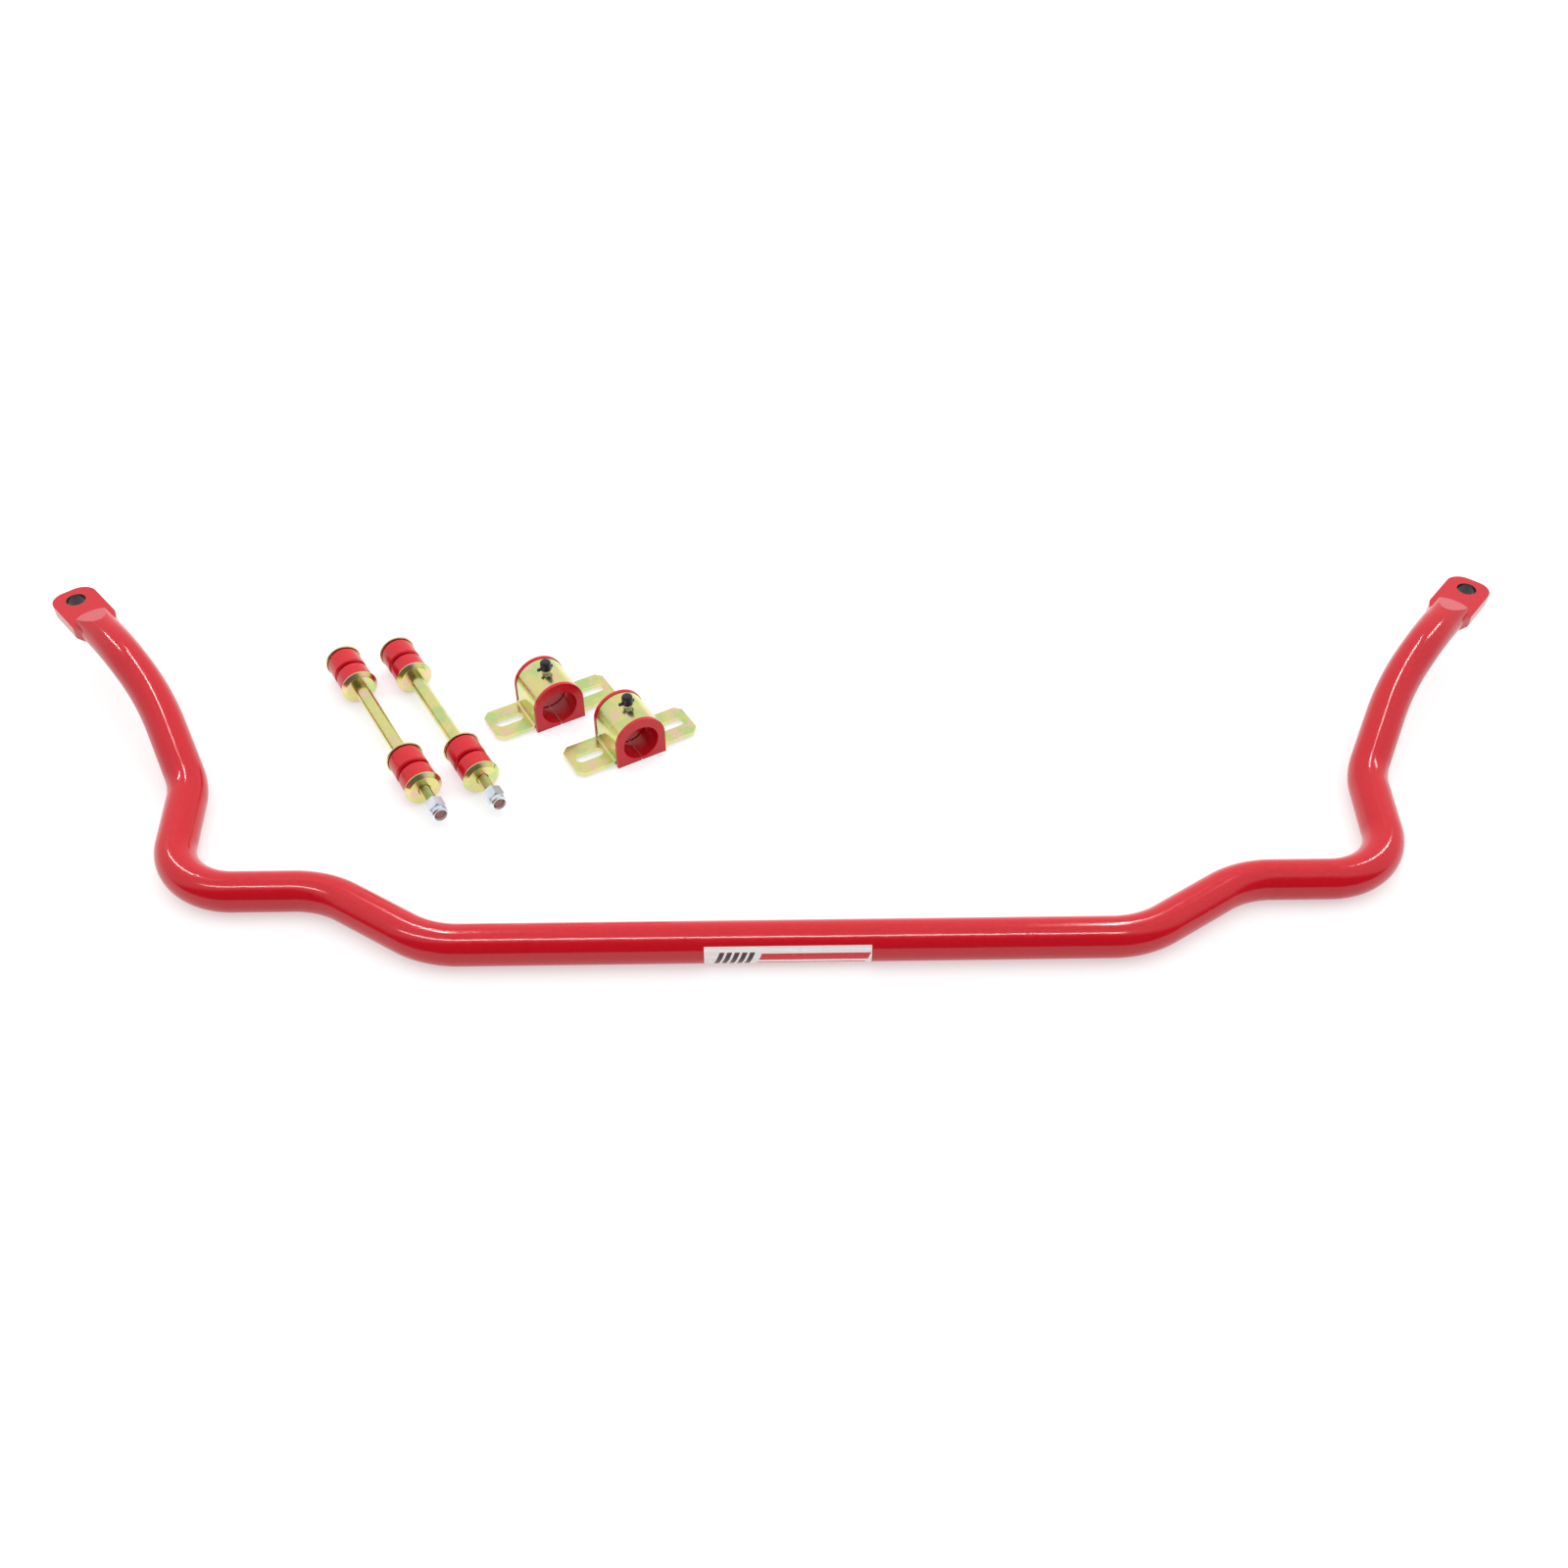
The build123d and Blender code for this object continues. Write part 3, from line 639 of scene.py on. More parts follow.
def settle(thing):
    """Turn an object and its modifiers into one plain mesh."""
    evaluated = thing.evaluated_get(bpy.context.evaluated_depsgraph_get())
    mesh = bpy.data.meshes.new_from_object(evaluated)
    old = thing.data
    thing.modifiers.clear()
    thing.data = mesh
    bpy.data.meshes.remove(old)
    return thing


def soften(thing, edge, angle, segments=3, crease=12):
    """Round an object's sharp edges, keep its slighter creases crisp, and shade the rest smooth."""
    bm = bmesh.new()
    bm.from_mesh(thing.data)
    for seam in bm.edges:
        if len(seam.link_faces) == 2:
            seam.smooth = not math.radians(crease) < seam.calc_face_angle(0) < math.radians(angle)
    bm.to_mesh(thing.data)
    bm.free()
    bevel = thing.modifiers.new("Edges", "BEVEL")
    bevel.limit_method = "ANGLE"
    bevel.angle_limit = math.radians(angle)
    bevel.width = edge
    bevel.segments = segments
    bevel.use_clamp_overlap = True
    bevel.harden_normals = False
    settle(thing)
    for face in thing.data.polygons:
        face.use_smooth = True
    weighted = thing.modifiers.new("Normals", "WEIGHTED_NORMAL")
    weighted.keep_sharp = True
    return settle(thing)


def paint(thing, slot):
    """Give an object one finish, in every slot it has."""
    thing.data.materials.clear()
    thing.data.materials.append(finish_for(slot))


def finished(thing, node, slot):
    """Let a new piece stand for a CAD node, on the node's own body."""
    paint(thing, slot)
    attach(thing, body_of_node(node))
    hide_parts(node)


def cad_copy(node):
    """A CAD node's mesh, with its flat faces made whole."""
    bm = bmesh.new()
    bm.from_mesh(NODES[node].data)
    bmesh.ops.remove_doubles(bm, verts=bm.verts, dist=WELD)
    bmesh.ops.dissolve_limit(bm, angle_limit=FLAT, verts=bm.verts, edges=bm.edges)
    return bm


def rounded_copy(node, slot, edge, angle=32, segments=3):
    """A copy of a CAD node with its edges rounded, standing for the node."""
    thing = add_object(f"{node}_finished", mesh_from(f"{node}_finished", cad_copy(node)))
    soften(thing, edge, angle, segments)
    finished(thing, node, slot)
    return thing


# ---------------------------------------------------------------- geometry node trees

def geometry_tree(name, inputs):
    """An empty geometry tree with named inputs, and its first and last nodes."""
    tree = bpy.data.node_groups.new(name, "GeometryNodeTree")
    tree.interface.new_socket("Geometry", in_out="INPUT", socket_type="NodeSocketGeometry")
    for label, kind in inputs:
        tree.interface.new_socket(label, in_out="INPUT", socket_type=kind)
    tree.interface.new_socket("Geometry", in_out="OUTPUT", socket_type="NodeSocketGeometry")
    return tree, tree.nodes.new("NodeGroupInput"), tree.nodes.new("NodeGroupOutput")


def close_tree(tree, geometry, material, sink):
    """End a tree with Realize Instances and Set Material."""
    real = tree.nodes.new("GeometryNodeRealizeInstances")
    painted = tree.nodes.new("GeometryNodeSetMaterial")
    tree.links.new(geometry, real.inputs[0])
    tree.links.new(real.outputs[0], painted.inputs["Geometry"])
    tree.links.new(material, painted.inputs["Material"])
    tree.links.new(painted.outputs[0], sink.inputs[0])


def grow(thing, tree, values):
    """Run a geometry tree on an object with its inputs set, and keep the result as a plain mesh."""
    modifier = thing.modifiers.new(tree.name, "NODES")
    modifier.node_group = tree
    for item in tree.interface.items_tree:
        if item.in_out == "INPUT" and item.name in values:
            modifier[item.identifier] = values[item.name]
    return settle(thing)


def bent_bar_tree():
    """Corner points joined by straight runs, rounded by their own bend radius, and swept as a round bar."""
    tree, source, sink = geometry_tree(
        "Bent bar",
        [
            ("Bar radius", "NodeSocketFloat"), ("Sides", "NodeSocketInt"),
            ("Steps per bend", "NodeSocketInt"), ("Material", "NodeSocketMaterial"),
        ],
    )
    line = tree.nodes.new("GeometryNodeMeshToCurve")
    tree.links.new(source.outputs["Geometry"], line.inputs["Mesh"])
    bend = tree.nodes.new("GeometryNodeInputNamedAttribute")
    bend.data_type = "FLOAT"
    bend.inputs["Name"].default_value = "bend_radius"
    fillet = tree.nodes.new("GeometryNodeFilletCurve")
    if "Mode" in fillet.inputs:
        fillet.inputs["Mode"].default_value = "Poly"
    else:
        fillet.mode = "POLY"
    tree.links.new(line.outputs[0], fillet.inputs["Curve"])
    tree.links.new(bend.outputs["Attribute"], fillet.inputs["Radius"])
    tree.links.new(source.outputs["Steps per bend"], fillet.inputs["Count"])
    profile = tree.nodes.new("GeometryNodeCurvePrimitiveCircle")
    tree.links.new(source.outputs["Sides"], profile.inputs["Resolution"])
    tree.links.new(source.outputs["Bar radius"], profile.inputs["Radius"])
    sweep = tree.nodes.new("GeometryNodeCurveToMesh")
    sweep.inputs["Fill Caps"].default_value = True
    tree.links.new(fillet.outputs[0], sweep.inputs["Curve"])
    tree.links.new(profile.outputs["Curve"], sweep.inputs["Profile Curve"])
    close_tree(tree, sweep.outputs[0], source.outputs["Material"], sink)
    return tree


def thread_tree():
    """A core with a V thread wound on it, along Z from the object's origin."""
    tree, source, sink = geometry_tree(
        "Screw thread",
        [
            ("Pitch", "NodeSocketFloat"), ("Crest radius", "NodeSocketFloat"),
            ("Root radius", "NodeSocketFloat"), ("Length", "NodeSocketFloat"),
            ("Material", "NodeSocketMaterial"),
        ],
    )
    wire = calc(tree, "DIVIDE", source.outputs["Pitch"], 2.1)
    middle = calc(tree, "SUBTRACT", source.outputs["Crest radius"], wire)
    climb = calc(tree, "SUBTRACT", source.outputs["Length"], calc(tree, "MULTIPLY", wire, 2.0))
    spiral = tree.nodes.new("GeometryNodeCurveSpiral")
    spiral.inputs["Resolution"].default_value = 40
    tree.links.new(calc(tree, "DIVIDE", climb, source.outputs["Pitch"]), spiral.inputs["Rotations"])
    tree.links.new(middle, spiral.inputs["Start Radius"])
    tree.links.new(middle, spiral.inputs["End Radius"])
    tree.links.new(climb, spiral.inputs["Height"])
    upright = tree.nodes.new("GeometryNodeSetCurveNormal")
    if "Mode" in upright.inputs:
        upright.inputs["Mode"].default_value = "Z Up"
    else:
        upright.mode = "Z_UP"
    tree.links.new(spiral.outputs[0], upright.inputs["Curve"])
    ridge = tree.nodes.new("GeometryNodeCurvePrimitiveCircle")
    ridge.inputs["Resolution"].default_value = 4
    tree.links.new(wire, ridge.inputs["Radius"])
    wound = tree.nodes.new("GeometryNodeCurveToMesh")
    wound.inputs["Fill Caps"].default_value = True
    tree.links.new(upright.outputs[0], wound.inputs["Curve"])
    tree.links.new(ridge.outputs["Curve"], wound.inputs["Profile Curve"])
    raised = tree.nodes.new("GeometryNodeTransform")
    lift = tree.nodes.new("ShaderNodeCombineXYZ")
    tree.links.new(wire, lift.inputs["Z"])
    tree.links.new(lift.outputs[0], raised.inputs["Translation"])
    tree.links.new(wound.outputs[0], raised.inputs["Geometry"])
    core = tree.nodes.new("GeometryNodeMeshCylinder")
    core.inputs["Vertices"].default_value = 48
    tree.links.new(source.outputs["Root radius"], core.inputs["Radius"])
    tree.links.new(source.outputs["Length"], core.inputs["Depth"])
    core_place = tree.nodes.new("GeometryNodeTransform")
    core_lift = tree.nodes.new("ShaderNodeCombineXYZ")
    tree.links.new(calc(tree, "DIVIDE", source.outputs["Length"], 2.0), core_lift.inputs["Z"])
    tree.links.new(core_lift.outputs[0], core_place.inputs["Translation"])
    tree.links.new(core.outputs["Mesh"], core_place.inputs["Geometry"])
    both = tree.nodes.new("GeometryNodeJoinGeometry")
    tree.links.new(core_place.outputs[0], both.inputs[0])
    tree.links.new(raised.outputs[0], both.inputs[0])
    close_tree(tree, both.outputs[0], source.outputs["Material"], sink)
    return tree


# ---------------------------------------------------------------- the bar

def eye_frames():
    """Each eye's hole centre as a frame: X along the arm to the tip, Y across it, Z up."""
    frames = {}
    for side, sign in (("left", -1), ("right", 1)):
        centre = Vector(mount_named(f"eye_{side}")["pos_m"])
        curve = arm_curve(sign)
        arm = Vector((centre.x - curve.x, centre.y - curve.y, 0)).normalized()
        rows = Matrix((arm, UP.cross(arm), UP)).transposed().to_4x4()
        rows.translation = centre
        frames[side] = rows
    return frames


def arm_curve(sign):
    """The corner point of the arm's long curve, on one side."""
    return Vector((sign * CURVE, CAD_BOX[0][1] + CURVE_BACK, CURVE_HEIGHT))


def bar_route():
    """Corner points of the bar from its left eye to its right one, with the bend radius at each."""
    size = settings("sway_bar_bar")
    front = CAD_BOX[0][1] + size.radius
    right = eye_frames()["right"]
    level = right @ Vector((-size.level_reach, 0, 0))
    tip = right @ Vector((-(size.nose_reach - size.nose_radius) + OVERLAP, 0, 0))
    half = [
        (Vector((size.front_bend, front, size.radius)), size.offset_bend),
        (Vector((size.back_bend, front + size.step_back, size.radius)), size.offset_bend),
        (Vector((size.corner, front + size.step_back, size.radius)), size.corner_bend),
        (Vector((KINK, front + KINK_BACK, size.radius)), size.kink_bend),
        (arm_curve(1), size.arm_bend),
        (level, size.level_bend),
        (tip, 0.0),
    ]
    other = [(Vector((-point.x, point.y, point.z)), bend) for point, bend in reversed(half)]
    return other + half


def rounded_outline(points, steps=10):
    """A closed outline through (x, y, corner radius) points, with each corner rounded."""
    outline = []
    for i, (x, y, radius) in enumerate(points):
        here = Vector((x, y))
        back = (Vector(points[i - 1][:2]) - here).normalized()
        ahead = (Vector(points[(i + 1) % len(points)][:2]) - here).normalized()
        if radius == 0:
            outline.append(here)
            continue
        half = back.angle(ahead) / 2
        centre = here + (back + ahead).normalized() * (radius / math.sin(half))
        start = here + back * (radius / math.tan(half)) - centre
        end = here + ahead * (radius / math.tan(half)) - centre
        turn = start.angle_signed(end)
        for step in range(steps + 1):
            outline.append(centre + Matrix.Rotation(-turn * step / steps, 2) @ start)
    return outline


def prism(bm, place, outline, low, high):
    """Add a solid between two heights of a frame, from a level outline."""
    loft(bm, [[place @ Vector((x, y, z)) for x, y in outline] for z in (low, high)])


def nose_cutters(bm, place, size):
    """Add what is pressed away round the nose, above and below the plate."""
    face = size.eye_thickness / 2
    crown = size.radius + OVERLAP
    reach = size.radius + size.nose_radius
    rings = []
    for radius, height in ((size.nose_radius, face), (size.nose_crown, crown)):
        arc = []
        for step in range(49):
            angle = math.radians(90 - 180 * step / 48)
            arc.append((radius * math.cos(angle), radius * math.sin(angle)))
        ring = [(0, reach), *arc, (0, -reach), (reach, -reach), (reach, reach)]
        rings.append([(x - size.nose_reach, y, height) for x, y in ring])
    loft(bm, [[place @ Vector(point) for point in ring] for ring in rings])
    loft(bm, [[place @ Vector((x, y, -z)) for x, y, z in ring] for ring in reversed(rings)])


def slope_cutters(bm, place, size):
    """Add the wedges that press the round bar down towards the plate, above and below."""
    lip = size.eye_thickness / 2 + size.nose_lip
    crown = size.radius + OVERLAP
    nose_tip = size.nose_reach - size.nose_radius
    side = size.eye_width / 2
    for up in (1, -1):
        outline = [
            (-size.slope_reach, up * size.radius), (-nose_tip, up * lip), (0, up * lip),
            (0, up * crown), (-size.slope_reach, up * crown),
        ]
        ends = (side, -side) if up > 0 else (-side, side)
        loft(bm, [[place @ Vector((x, y, z)) for x, z in outline] for y in ends])


def combine(thing, operation, bm):
    """Add or cut a bmesh's solids, exactly."""
    bmesh.ops.recalc_face_normals(bm, faces=bm.faces)
    tool = add_object("tool", mesh_from("tool", bm))
    modifier = thing.modifiers.new("Combine", "BOOLEAN")
    modifier.operation = operation
    modifier.solver = "EXACT"
    modifier.object = tool
    settle(thing)
    mesh = tool.data
    bpy.data.objects.remove(tool)
    bpy.data.meshes.remove(mesh)


class SWAYBAR_OT_bar(bpy.types.Operator):
    """Sweep the bent bar, forge its two eyes and coat it"""

    bl_idname = "swaybar.bar"
    bl_label = "Bar"

    def execute(self, context):
        size = settings("sway_bar_bar")
        route = bar_route()
        mesh = bpy.data.meshes.new("sway_bar_finished")
        mesh.from_pydata([point for point, bend in route], [(i, i + 1) for i in range(len(route) - 1)], [])
        bends = mesh.attributes.new("bend_radius", "FLOAT", "POINT")
        bends.data.foreach_set("value", [bend for point, bend in route])
        bar = add_object("sway_bar_finished", mesh)
        grow(
            bar, bent_bar_tree(),
            {
                "Bar radius": size.radius, "Sides": size.sides, "Steps per bend": 36,
                "Material": finish_for("red_powder_coat"),
            },
        )
        noses, slopes, plates, holes = (bmesh.new() for _ in range(4))
        half = size.eye_width / 2
        outline = rounded_outline([
            (size.eye_tip, half, size.eye_corner), (-size.eye_shoulder, half, SHOULDER_BEND),
            (-size.eye_taper, size.eye_taper_half, 0), (-size.eye_taper, -size.eye_taper_half, 0),
            (-size.eye_shoulder, -half, SHOULDER_BEND), (size.eye_tip, -half, size.eye_corner),
        ])
        hole = circle(mount_named("eye_left")["dims"]["r_mm"] * MM, 64)
        for place in eye_frames().values():
            nose_cutters(noses, place, size)
            slope_cutters(slopes, place, size)
            prism(plates, place, outline, -size.eye_thickness / 2, size.eye_thickness / 2)
            prism(holes, place, hole, -size.eye_thickness, size.eye_thickness)
        combine(bar, "DIFFERENCE", noses)
        combine(bar, "DIFFERENCE", slopes)
        combine(bar, "UNION", plates)
        combine(bar, "DIFFERENCE", holes)
        soften(bar, size.edge, 28)
        finished(bar, "sway_bar", "red_powder_coat")
        return {"FINISHED"}


class SWAYBAR_OT_label(bpy.types.Operator):
    """Wrap the plain label round the front of the centre run"""

    bl_idname = "swaybar.label"
    bl_label = "Label"

    def execute(self, context):
        size = settings("sway_bar_bar")
        low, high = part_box("bar_label")
        axis = Vector((0, CAD_BOX[0][1] + size.radius, size.radius))
        top = math.atan2(high.z - axis.z, -math.sqrt(size.radius ** 2 - (high.z - axis.z) ** 2))
        bottom = math.tau + math.atan2(low.z - axis.z, -math.sqrt(size.radius ** 2 - (low.z - axis.z) ** 2))
        outer = axis.y - low.y
        outline = []
        for radius, first, last in ((outer, top, bottom), (outer - 0.2 * MM, bottom, top)):
            for step in range(41):
                angle = first + (last - first) * step / 40
                outline.append((radius * math.cos(angle), radius * math.sin(angle)))
        bm = bmesh.new()
        loft(bm, [[axis + Vector((x, y, z)) for y, z in outline] for x in (low.x, high.x)])
        bmesh.ops.recalc_face_normals(bm, faces=bm.faces)
        label = add_object("bar_label_film", mesh_from("bar_label_film", bm))
        soften(label, 0.05 * MM, 60, 1)
        finished(label, "bar_label", "label")
        return {"FINISHED"}


# ---------------------------------------------------------------- end links

class SWAYBAR_OT_washers(bpy.types.Operator):
    """Plate the cupped washers of both links"""

    bl_idname = "swaybar.washers"
    bl_label = "Cup washers"

    def execute(self, context):
        edge = settings("sway_bar_finish").edge
        for link in LINKS:
            for place in ("head_washer", "sleeve_washer_head_end", "sleeve_washer_nut_end", "nut_washer"):
                rounded_copy(f"link_{link}_{place}", "yellow_zinc", edge)
        return {"FINISHED"}


class SWAYBAR_OT_link_bushings(bpy.types.Operator):
    """Mould the bushings of both links"""

    bl_idname = "swaybar.link_bushings"
    bl_label = "Link bushings"

    def execute(self, context):
        edge = settings("sway_bar_finish").moulded_edge
        for link in LINKS:
            for place in ("head_bushing_outer", "head_bushing_inner",
                          "nut_bushing_inner", "nut_bushing_outer"):
                rounded_copy(f"link_{link}_{place}", "red_polyurethane", edge)
        return {"FINISHED"}


class SWAYBAR_OT_sleeves(bpy.types.Operator):
    """Plate the rolled sleeves of both links"""

    bl_idname = "swaybar.sleeves"
    bl_label = "Sleeves"

    def execute(self, context):
        for link in LINKS:
            rounded_copy(f"link_{link}_sleeve", "yellow_zinc", settings("sway_bar_finish").edge)
        return {"FINISHED"}


class SWAYBAR_OT_bolts(bpy.types.Operator):
    """Cut each link's bolt back to its shank, wind its thread and saw its end, coloured with painted shade
    """

    bl_idname = "swaybar.bolts"
    bl_label = "Bolts"

    def execute(self, context):
        thread = settings("sway_bar_thread")
        tree = thread_tree()
        for link in LINKS:
            node = f"link_{link}_bolt"
            origin, direction = link_axis(link)
            bm = cad_copy(node)
            cut = bmesh.ops.bisect_plane(
                bm, geom=[*bm.verts, *bm.edges, *bm.faces], plane_co=origin + direction * thread.start,
                plane_no=direction, clear_outer=True,
            )
            rim = [item for item in cut["geom_cut"] if isinstance(item, bmesh.types.BMEdge)]
            bmesh.ops.holes_fill(bm, edges=rim)
            bolt = add_object(f"{node}_finished", mesh_from(f"{node}_finished", bm))
            soften(bolt, settings("sway_bar_finish").edge, 25)
            wound = add_object(f"{node}_thread", bpy.data.meshes.new(f"{node}_thread"))
            grow(
                wound, tree,
                {
                    "Pitch": thread.pitch, "Crest radius": thread.crest, "Root radius": thread.root,
                    "Length": thread.end - thread.start, "Material": finish_for("yellow_zinc"),
                },
            )
            wound.data.transform(axis_matrix(origin + direction * thread.start, direction))
            finished(bolt, node, "yellow_zinc")
            paint(wound, "yellow_zinc")
            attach(wound, body_of_node(node))
            sawn = ((thread.root, -0.2 * MM), (thread.root, 0), (thread.root - 0.6 * MM, 0.15 * MM))
            bm = bmesh.new()
            loft(bm, [[(x, y, height) for x, y in circle(radius, 48)] for radius, height in sawn])
            bm.transform(axis_matrix(origin + direction * thread.end, direction))
            end = add_object(f"{node}_end", mesh_from(f"{node}_end", bm))
            # The record has no slot for the end disc, so it keeps the bolt's; its own material is painted
            # shade and painted reflection of the end's recess in the nut.
            paint(end, "yellow_zinc")
            end.data.materials[0] = finish_for("shaded_bolt_end")
            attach(end, body_of_node(node))
        return {"FINISHED"}


class SWAYBAR_OT_nuts(bpy.types.Operator):
    """Plate the lock nuts and fit their nylon rings"""

    bl_idname = "swaybar.nuts"
    bl_label = "Lock nuts"

    def execute(self, context):
        edge = settings("sway_bar_finish").edge
        for link in LINKS:
            rounded_copy(f"link_{link}_lock_nut", "clear_zinc", edge)
            rounded_copy(f"link_{link}_nut_insert", "nylon", edge)
        return {"FINISHED"}


# ---------------------------------------------------------------- brackets

class SWAYBAR_OT_straps(bpy.types.Operator):
    """Stamp and plate the bracket straps"""

    bl_idname = "swaybar.straps"
    bl_label = "Bracket straps"

    def execute(self, context):
        for bracket in BRACKETS:
            rounded_copy(f"bracket_{bracket}_strap", "yellow_zinc", settings("sway_bar_finish").edge)
        return {"FINISHED"}


class SWAYBAR_OT_bar_bushings(bpy.types.Operator):
    """Mould the flanged bushings that hold the bar"""

    bl_idname = "swaybar.bar_bushings"
    bl_label = "Bar bushings"

    def execute(self, context):
        for bracket in BRACKETS:
            node = f"bracket_{bracket}_bushing"
            rounded_copy(node, "red_polyurethane", settings("sway_bar_finish").edge)
        return {"FINISHED"}


class SWAYBAR_OT_grease_fittings(bpy.types.Operator):
    """Finish the grease fittings with their balls, springs and caps"""

    bl_idname = "swaybar.grease_fittings"
    bl_label = "Grease fittings"

    def execute(self, context):
        edge = settings("sway_bar_finish").edge
        for bracket in BRACKETS:
            rounded_copy(f"bracket_{bracket}_grease_fitting", "clear_zinc", edge * 0.6)
            rounded_copy(f"bracket_{bracket}_fitting_cap", "black_cap", edge * 1.3)
            paint(NODES[f"bracket_{bracket}_check_ball"], "clear_zinc")
            spring = rounded_copy(f"bracket_{bracket}_check_spring", "clear_zinc", edge * 0.1)
            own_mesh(spring)
        return {"FINISHED"}


# ---------------------------------------------------------------- stage

def lamp(name, kind, energy, place, target=(0, 0, 0), **values):
    """A lamp that points at a target."""
    data = bpy.data.lights.new(name, kind)
    data.energy = energy
    for key, value in values.items():
        setattr(data, key, value)
    thing = bpy.data.objects.new(name, data)
    bpy.context.scene.collection.objects.link(thing)
    thing.location = place
    thing.rotation_mode = "QUATERNION"
    thing.rotation_quaternion = (Vector(target) - Vector(place)).to_track_quat("-Z", "Y")
    return thing


def pale_room(strength):
    """Light from all round: bright above, behind and to the sides, dark in front."""
    world = bpy.data.worlds.new("Pale room")
    world.use_nodes = True
    tree = world.node_tree
    facing = tree.nodes.new("ShaderNodeTexCoord").outputs["Generated"]
    sideways = tree.nodes.new("ShaderNodeVectorMath")
    sideways.operation = "ABSOLUTE"
    tree.links.new(facing, sideways.inputs[0])

    def dot(vector, weights):
        node = tree.nodes.new("ShaderNodeVectorMath")
        node.operation = "DOT_PRODUCT"
        node.inputs[1].default_value = weights
        tree.links.new(vector, node.inputs[0])
        return node.outputs["Value"]

    dim = 0.14 * strength
    ramp = tree.nodes.new("ShaderNodeMapRange")
    ramp.interpolation_type = "SMOOTHSTEP"
    for label, value in (("From Min", 0.18), ("From Max", 0.40), ("To Min", dim), ("To Max", strength)):
        ramp.inputs[label].default_value = value
    toward_light = calc(tree, "ADD", dot(facing, (0, 0.5, 0.5)), dot(sideways.outputs[0], (0.35, 0, 0)))
    tree.links.new(toward_light, ramp.inputs["Value"])
    tree.links.new(ramp.outputs["Result"], tree.nodes["Background"].inputs["Strength"])
    tree.nodes["Background"].inputs["Color"].default_value = (1, 1, 1, 1)
    return world


class SWAYBAR_OT_stage(bpy.types.Operator):
    """Set the camera, the pale floor and the soft lamps"""

    bl_idname = "swaybar.stage"
    bl_label = "Stage"

    def execute(self, context):
        stage = settings("sway_bar_stage")
        bm = bmesh.new()
        bmesh.ops.create_grid(bm, x_segments=2, y_segments=2, size=stage.floor / 2)
        floor = add_object("floor", mesh_from("floor", bm))
        material, tree, shader = new_finish("Pale floor")
        shader.inputs["Base Color"].default_value = (0.48, 0.48, 0.48, 1)
        shader.inputs["Emission Color"].default_value = (1, 1, 1, 1)
        shader.inputs["Emission Strength"].default_value = 0.54
        shader.inputs["Roughness"].default_value = 0.9
        shader.inputs["Specular IOR Level"].default_value = 0.0
        floor.data.materials.append(material)

        context.scene.world = pale_room(stage.sky)
        overhead = lamp("Overhead", "SUN", stage.sun, (0.25, 0.3, 2), angle=math.radians(100))
        overhead.visible_glossy = False
        lit = bpy.data.collections.new("Lit by the strips")
        lit.objects.link(bpy.data.objects["sway_bar_finished"])
        strips = [("Front strip", 12, (-0.35, -0.56, 1.4), (-0.3, -0.18, 0), 2.2, 0.03)]
        for side, sign in (("Left", -1), ("Right", 1)):
            arm = (sign * 0.52, 0.10, 0.04)
            strips.append((f"{side} inner strip", 3, (sign * 0.61, 0.67, 1.32), arm, 0.03, 0.45))
            strips.append((f"{side} outer strip", 3, (sign * 1.26, 0.59, 1.13), arm, 0.04, 0.45))
        for name, power, place, target, across, along in strips:
            strip = lamp(name, "AREA", power, place, target, shape="RECTANGLE", size=across, size_y=along)
            strip.visible_diffuse = False
            strip.light_linking.receiver_collection = lit

        data = bpy.data.cameras.new("Camera")
        data.lens = stage.lens
        data.sensor_width = 36
        camera = bpy.data.objects.new("Camera", data)
        context.scene.collection.objects.link(camera)
        ahead = Vector((
            math.sin(stage.pan) * math.cos(stage.tilt), math.cos(stage.pan) * math.cos(stage.tilt),
            -math.sin(stage.tilt),
        ))
        level = Vector((math.cos(stage.pan), -math.sin(stage.pan), 0))
        above = level.cross(ahead)
        right = level * math.cos(stage.roll) + above * math.sin(stage.roll)
        top = above * math.cos(stage.roll) - level * math.sin(stage.roll)
        turned = Matrix((right, top, -ahead)).transposed().to_4x4()
        camera.matrix_world = Matrix.Translation(stage.camera) @ turned
        context.scene.camera = camera
        context.scene.view_settings.view_transform = "Standard"
        return {"FINISHED"}


# ---------------------------------------------------------------- panel and registration

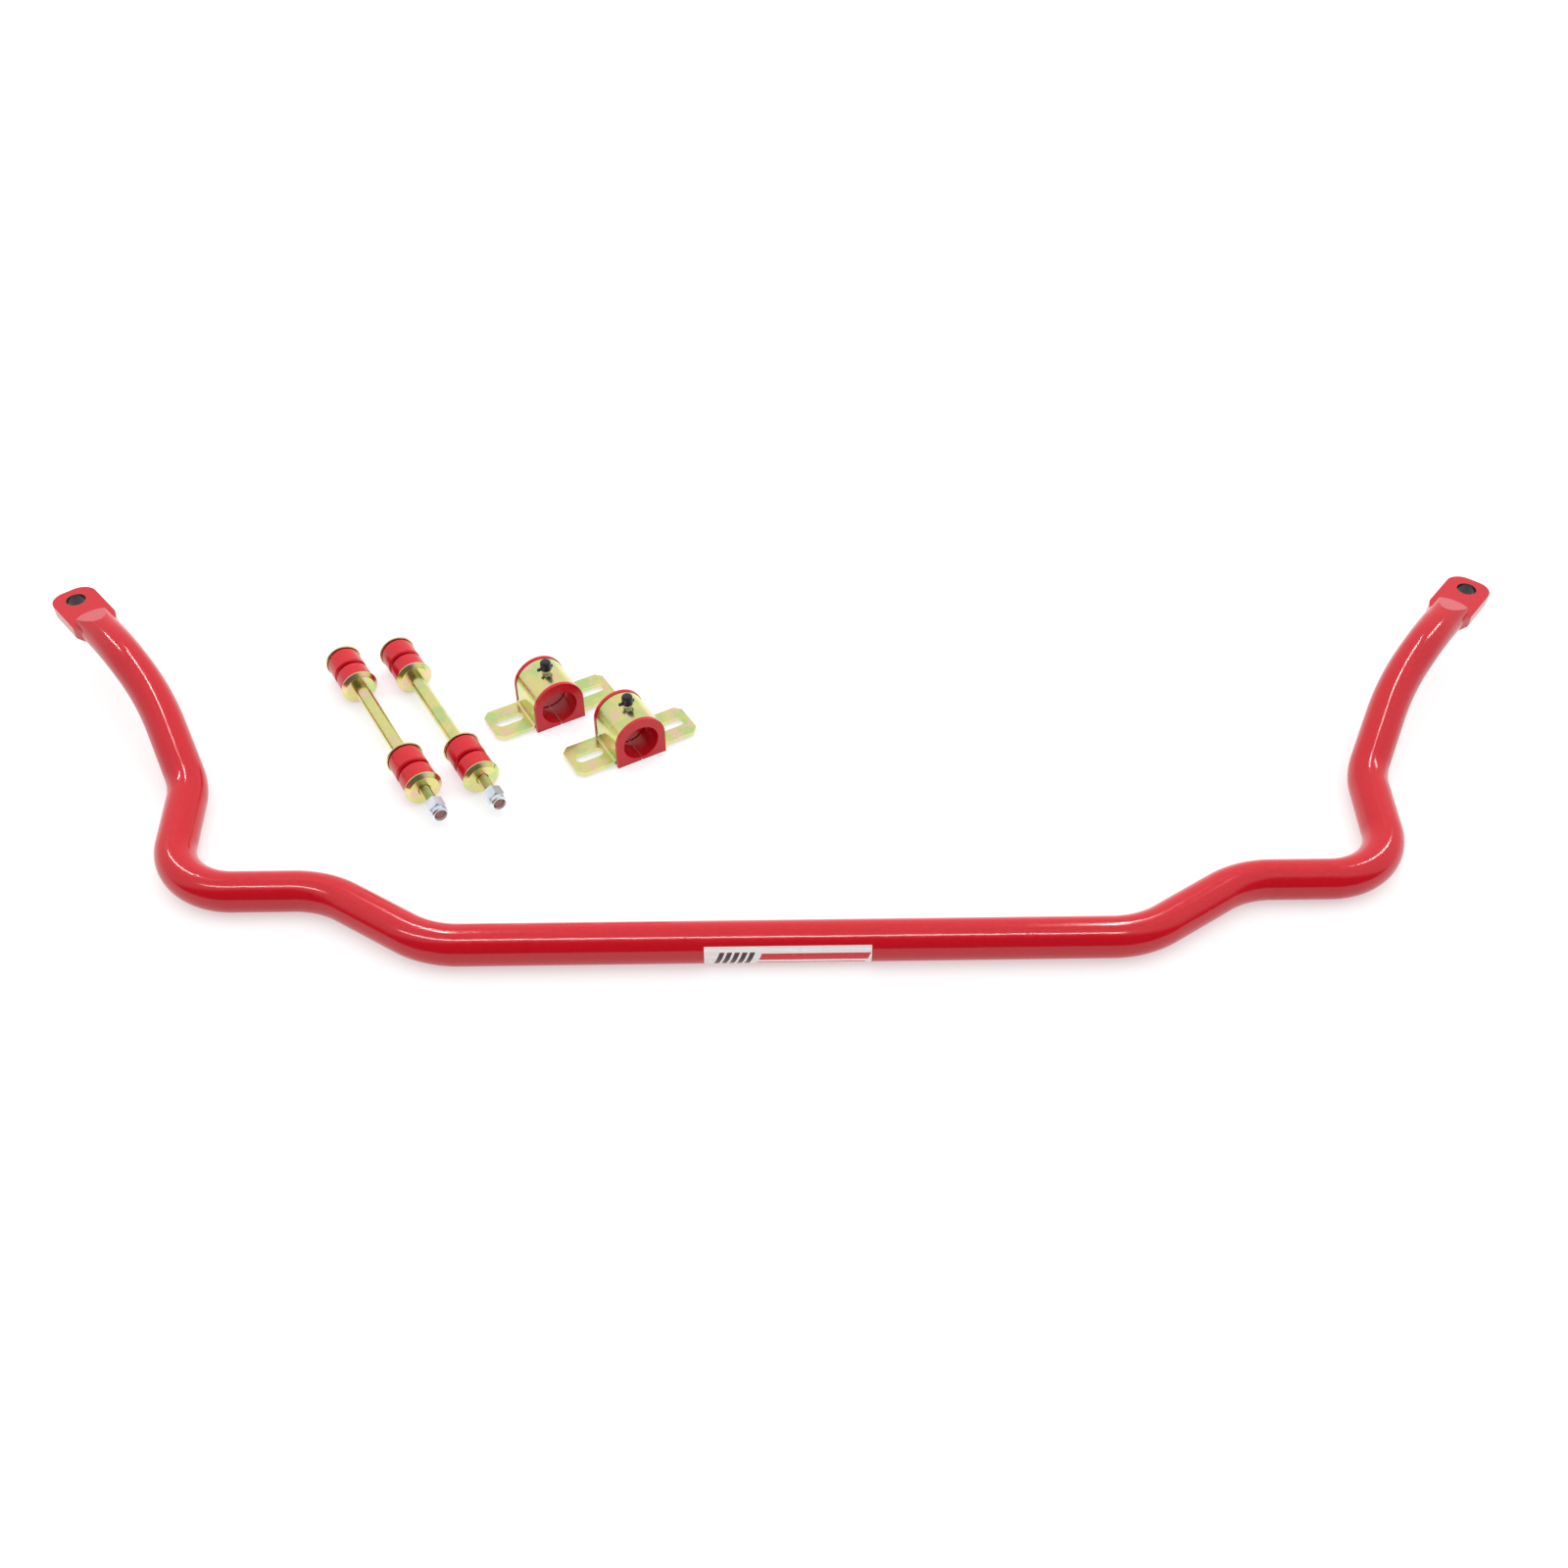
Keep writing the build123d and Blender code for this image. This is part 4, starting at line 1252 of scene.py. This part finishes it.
OPERATORS = (
    SWAYBAR_OT_bar, SWAYBAR_OT_label, SWAYBAR_OT_washers, SWAYBAR_OT_link_bushings, SWAYBAR_OT_sleeves,
    SWAYBAR_OT_bolts, SWAYBAR_OT_nuts, SWAYBAR_OT_straps, SWAYBAR_OT_bar_bushings,
    SWAYBAR_OT_grease_fittings, SWAYBAR_OT_stage,
)
SETTINGS = {
    "sway_bar_bar": BarSettings,
    "sway_bar_thread": ThreadSettings,
    "sway_bar_finish": FinishSettings,
    "sway_bar_stage": StageSettings,
}


class SWAYBAR_PT_panel(bpy.types.Panel):
    bl_idname = "SWAYBAR_PT_panel"
    bl_label = "Sway Bar Kit"
    bl_space_type = "VIEW_3D"
    bl_region_type = "UI"
    bl_category = "Sway Bar"

    def draw(self, context):
        for operator in OPERATORS:
            self.layout.operator(operator.bl_idname)
        for name, group in SETTINGS.items():
            box = self.layout.box()
            for key in group.__annotations__:
                box.prop(getattr(context.scene, name), key)


def register():
    """Register the settings, the operators and the panel."""
    for group in SETTINGS.values():
        bpy.utils.register_class(group)
    for name, group in SETTINGS.items():
        setattr(bpy.types.Scene, name, bpy.props.PointerProperty(type=group))
    for operator in OPERATORS:
        bpy.utils.register_class(operator)
    bpy.utils.register_class(SWAYBAR_PT_panel)


def unregister():
    """Undo what register did."""
    bpy.utils.unregister_class(SWAYBAR_PT_panel)
    for operator in reversed(OPERATORS):
        bpy.utils.unregister_class(operator)
    for name, group in SETTINGS.items():
        delattr(bpy.types.Scene, name)
        bpy.utils.unregister_class(group)


def main():
    """Build every piece in order."""
    register()
    bpy.ops.swaybar.bar()
    bpy.ops.swaybar.label()
    bpy.ops.swaybar.washers()
    bpy.ops.swaybar.link_bushings()
    bpy.ops.swaybar.sleeves()
    bpy.ops.swaybar.bolts()
    bpy.ops.swaybar.nuts()
    bpy.ops.swaybar.straps()
    bpy.ops.swaybar.bar_bushings()
    bpy.ops.swaybar.grease_fittings()
    bpy.ops.swaybar.stage()
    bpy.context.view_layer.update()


if __name__ == "__main__":
    main()
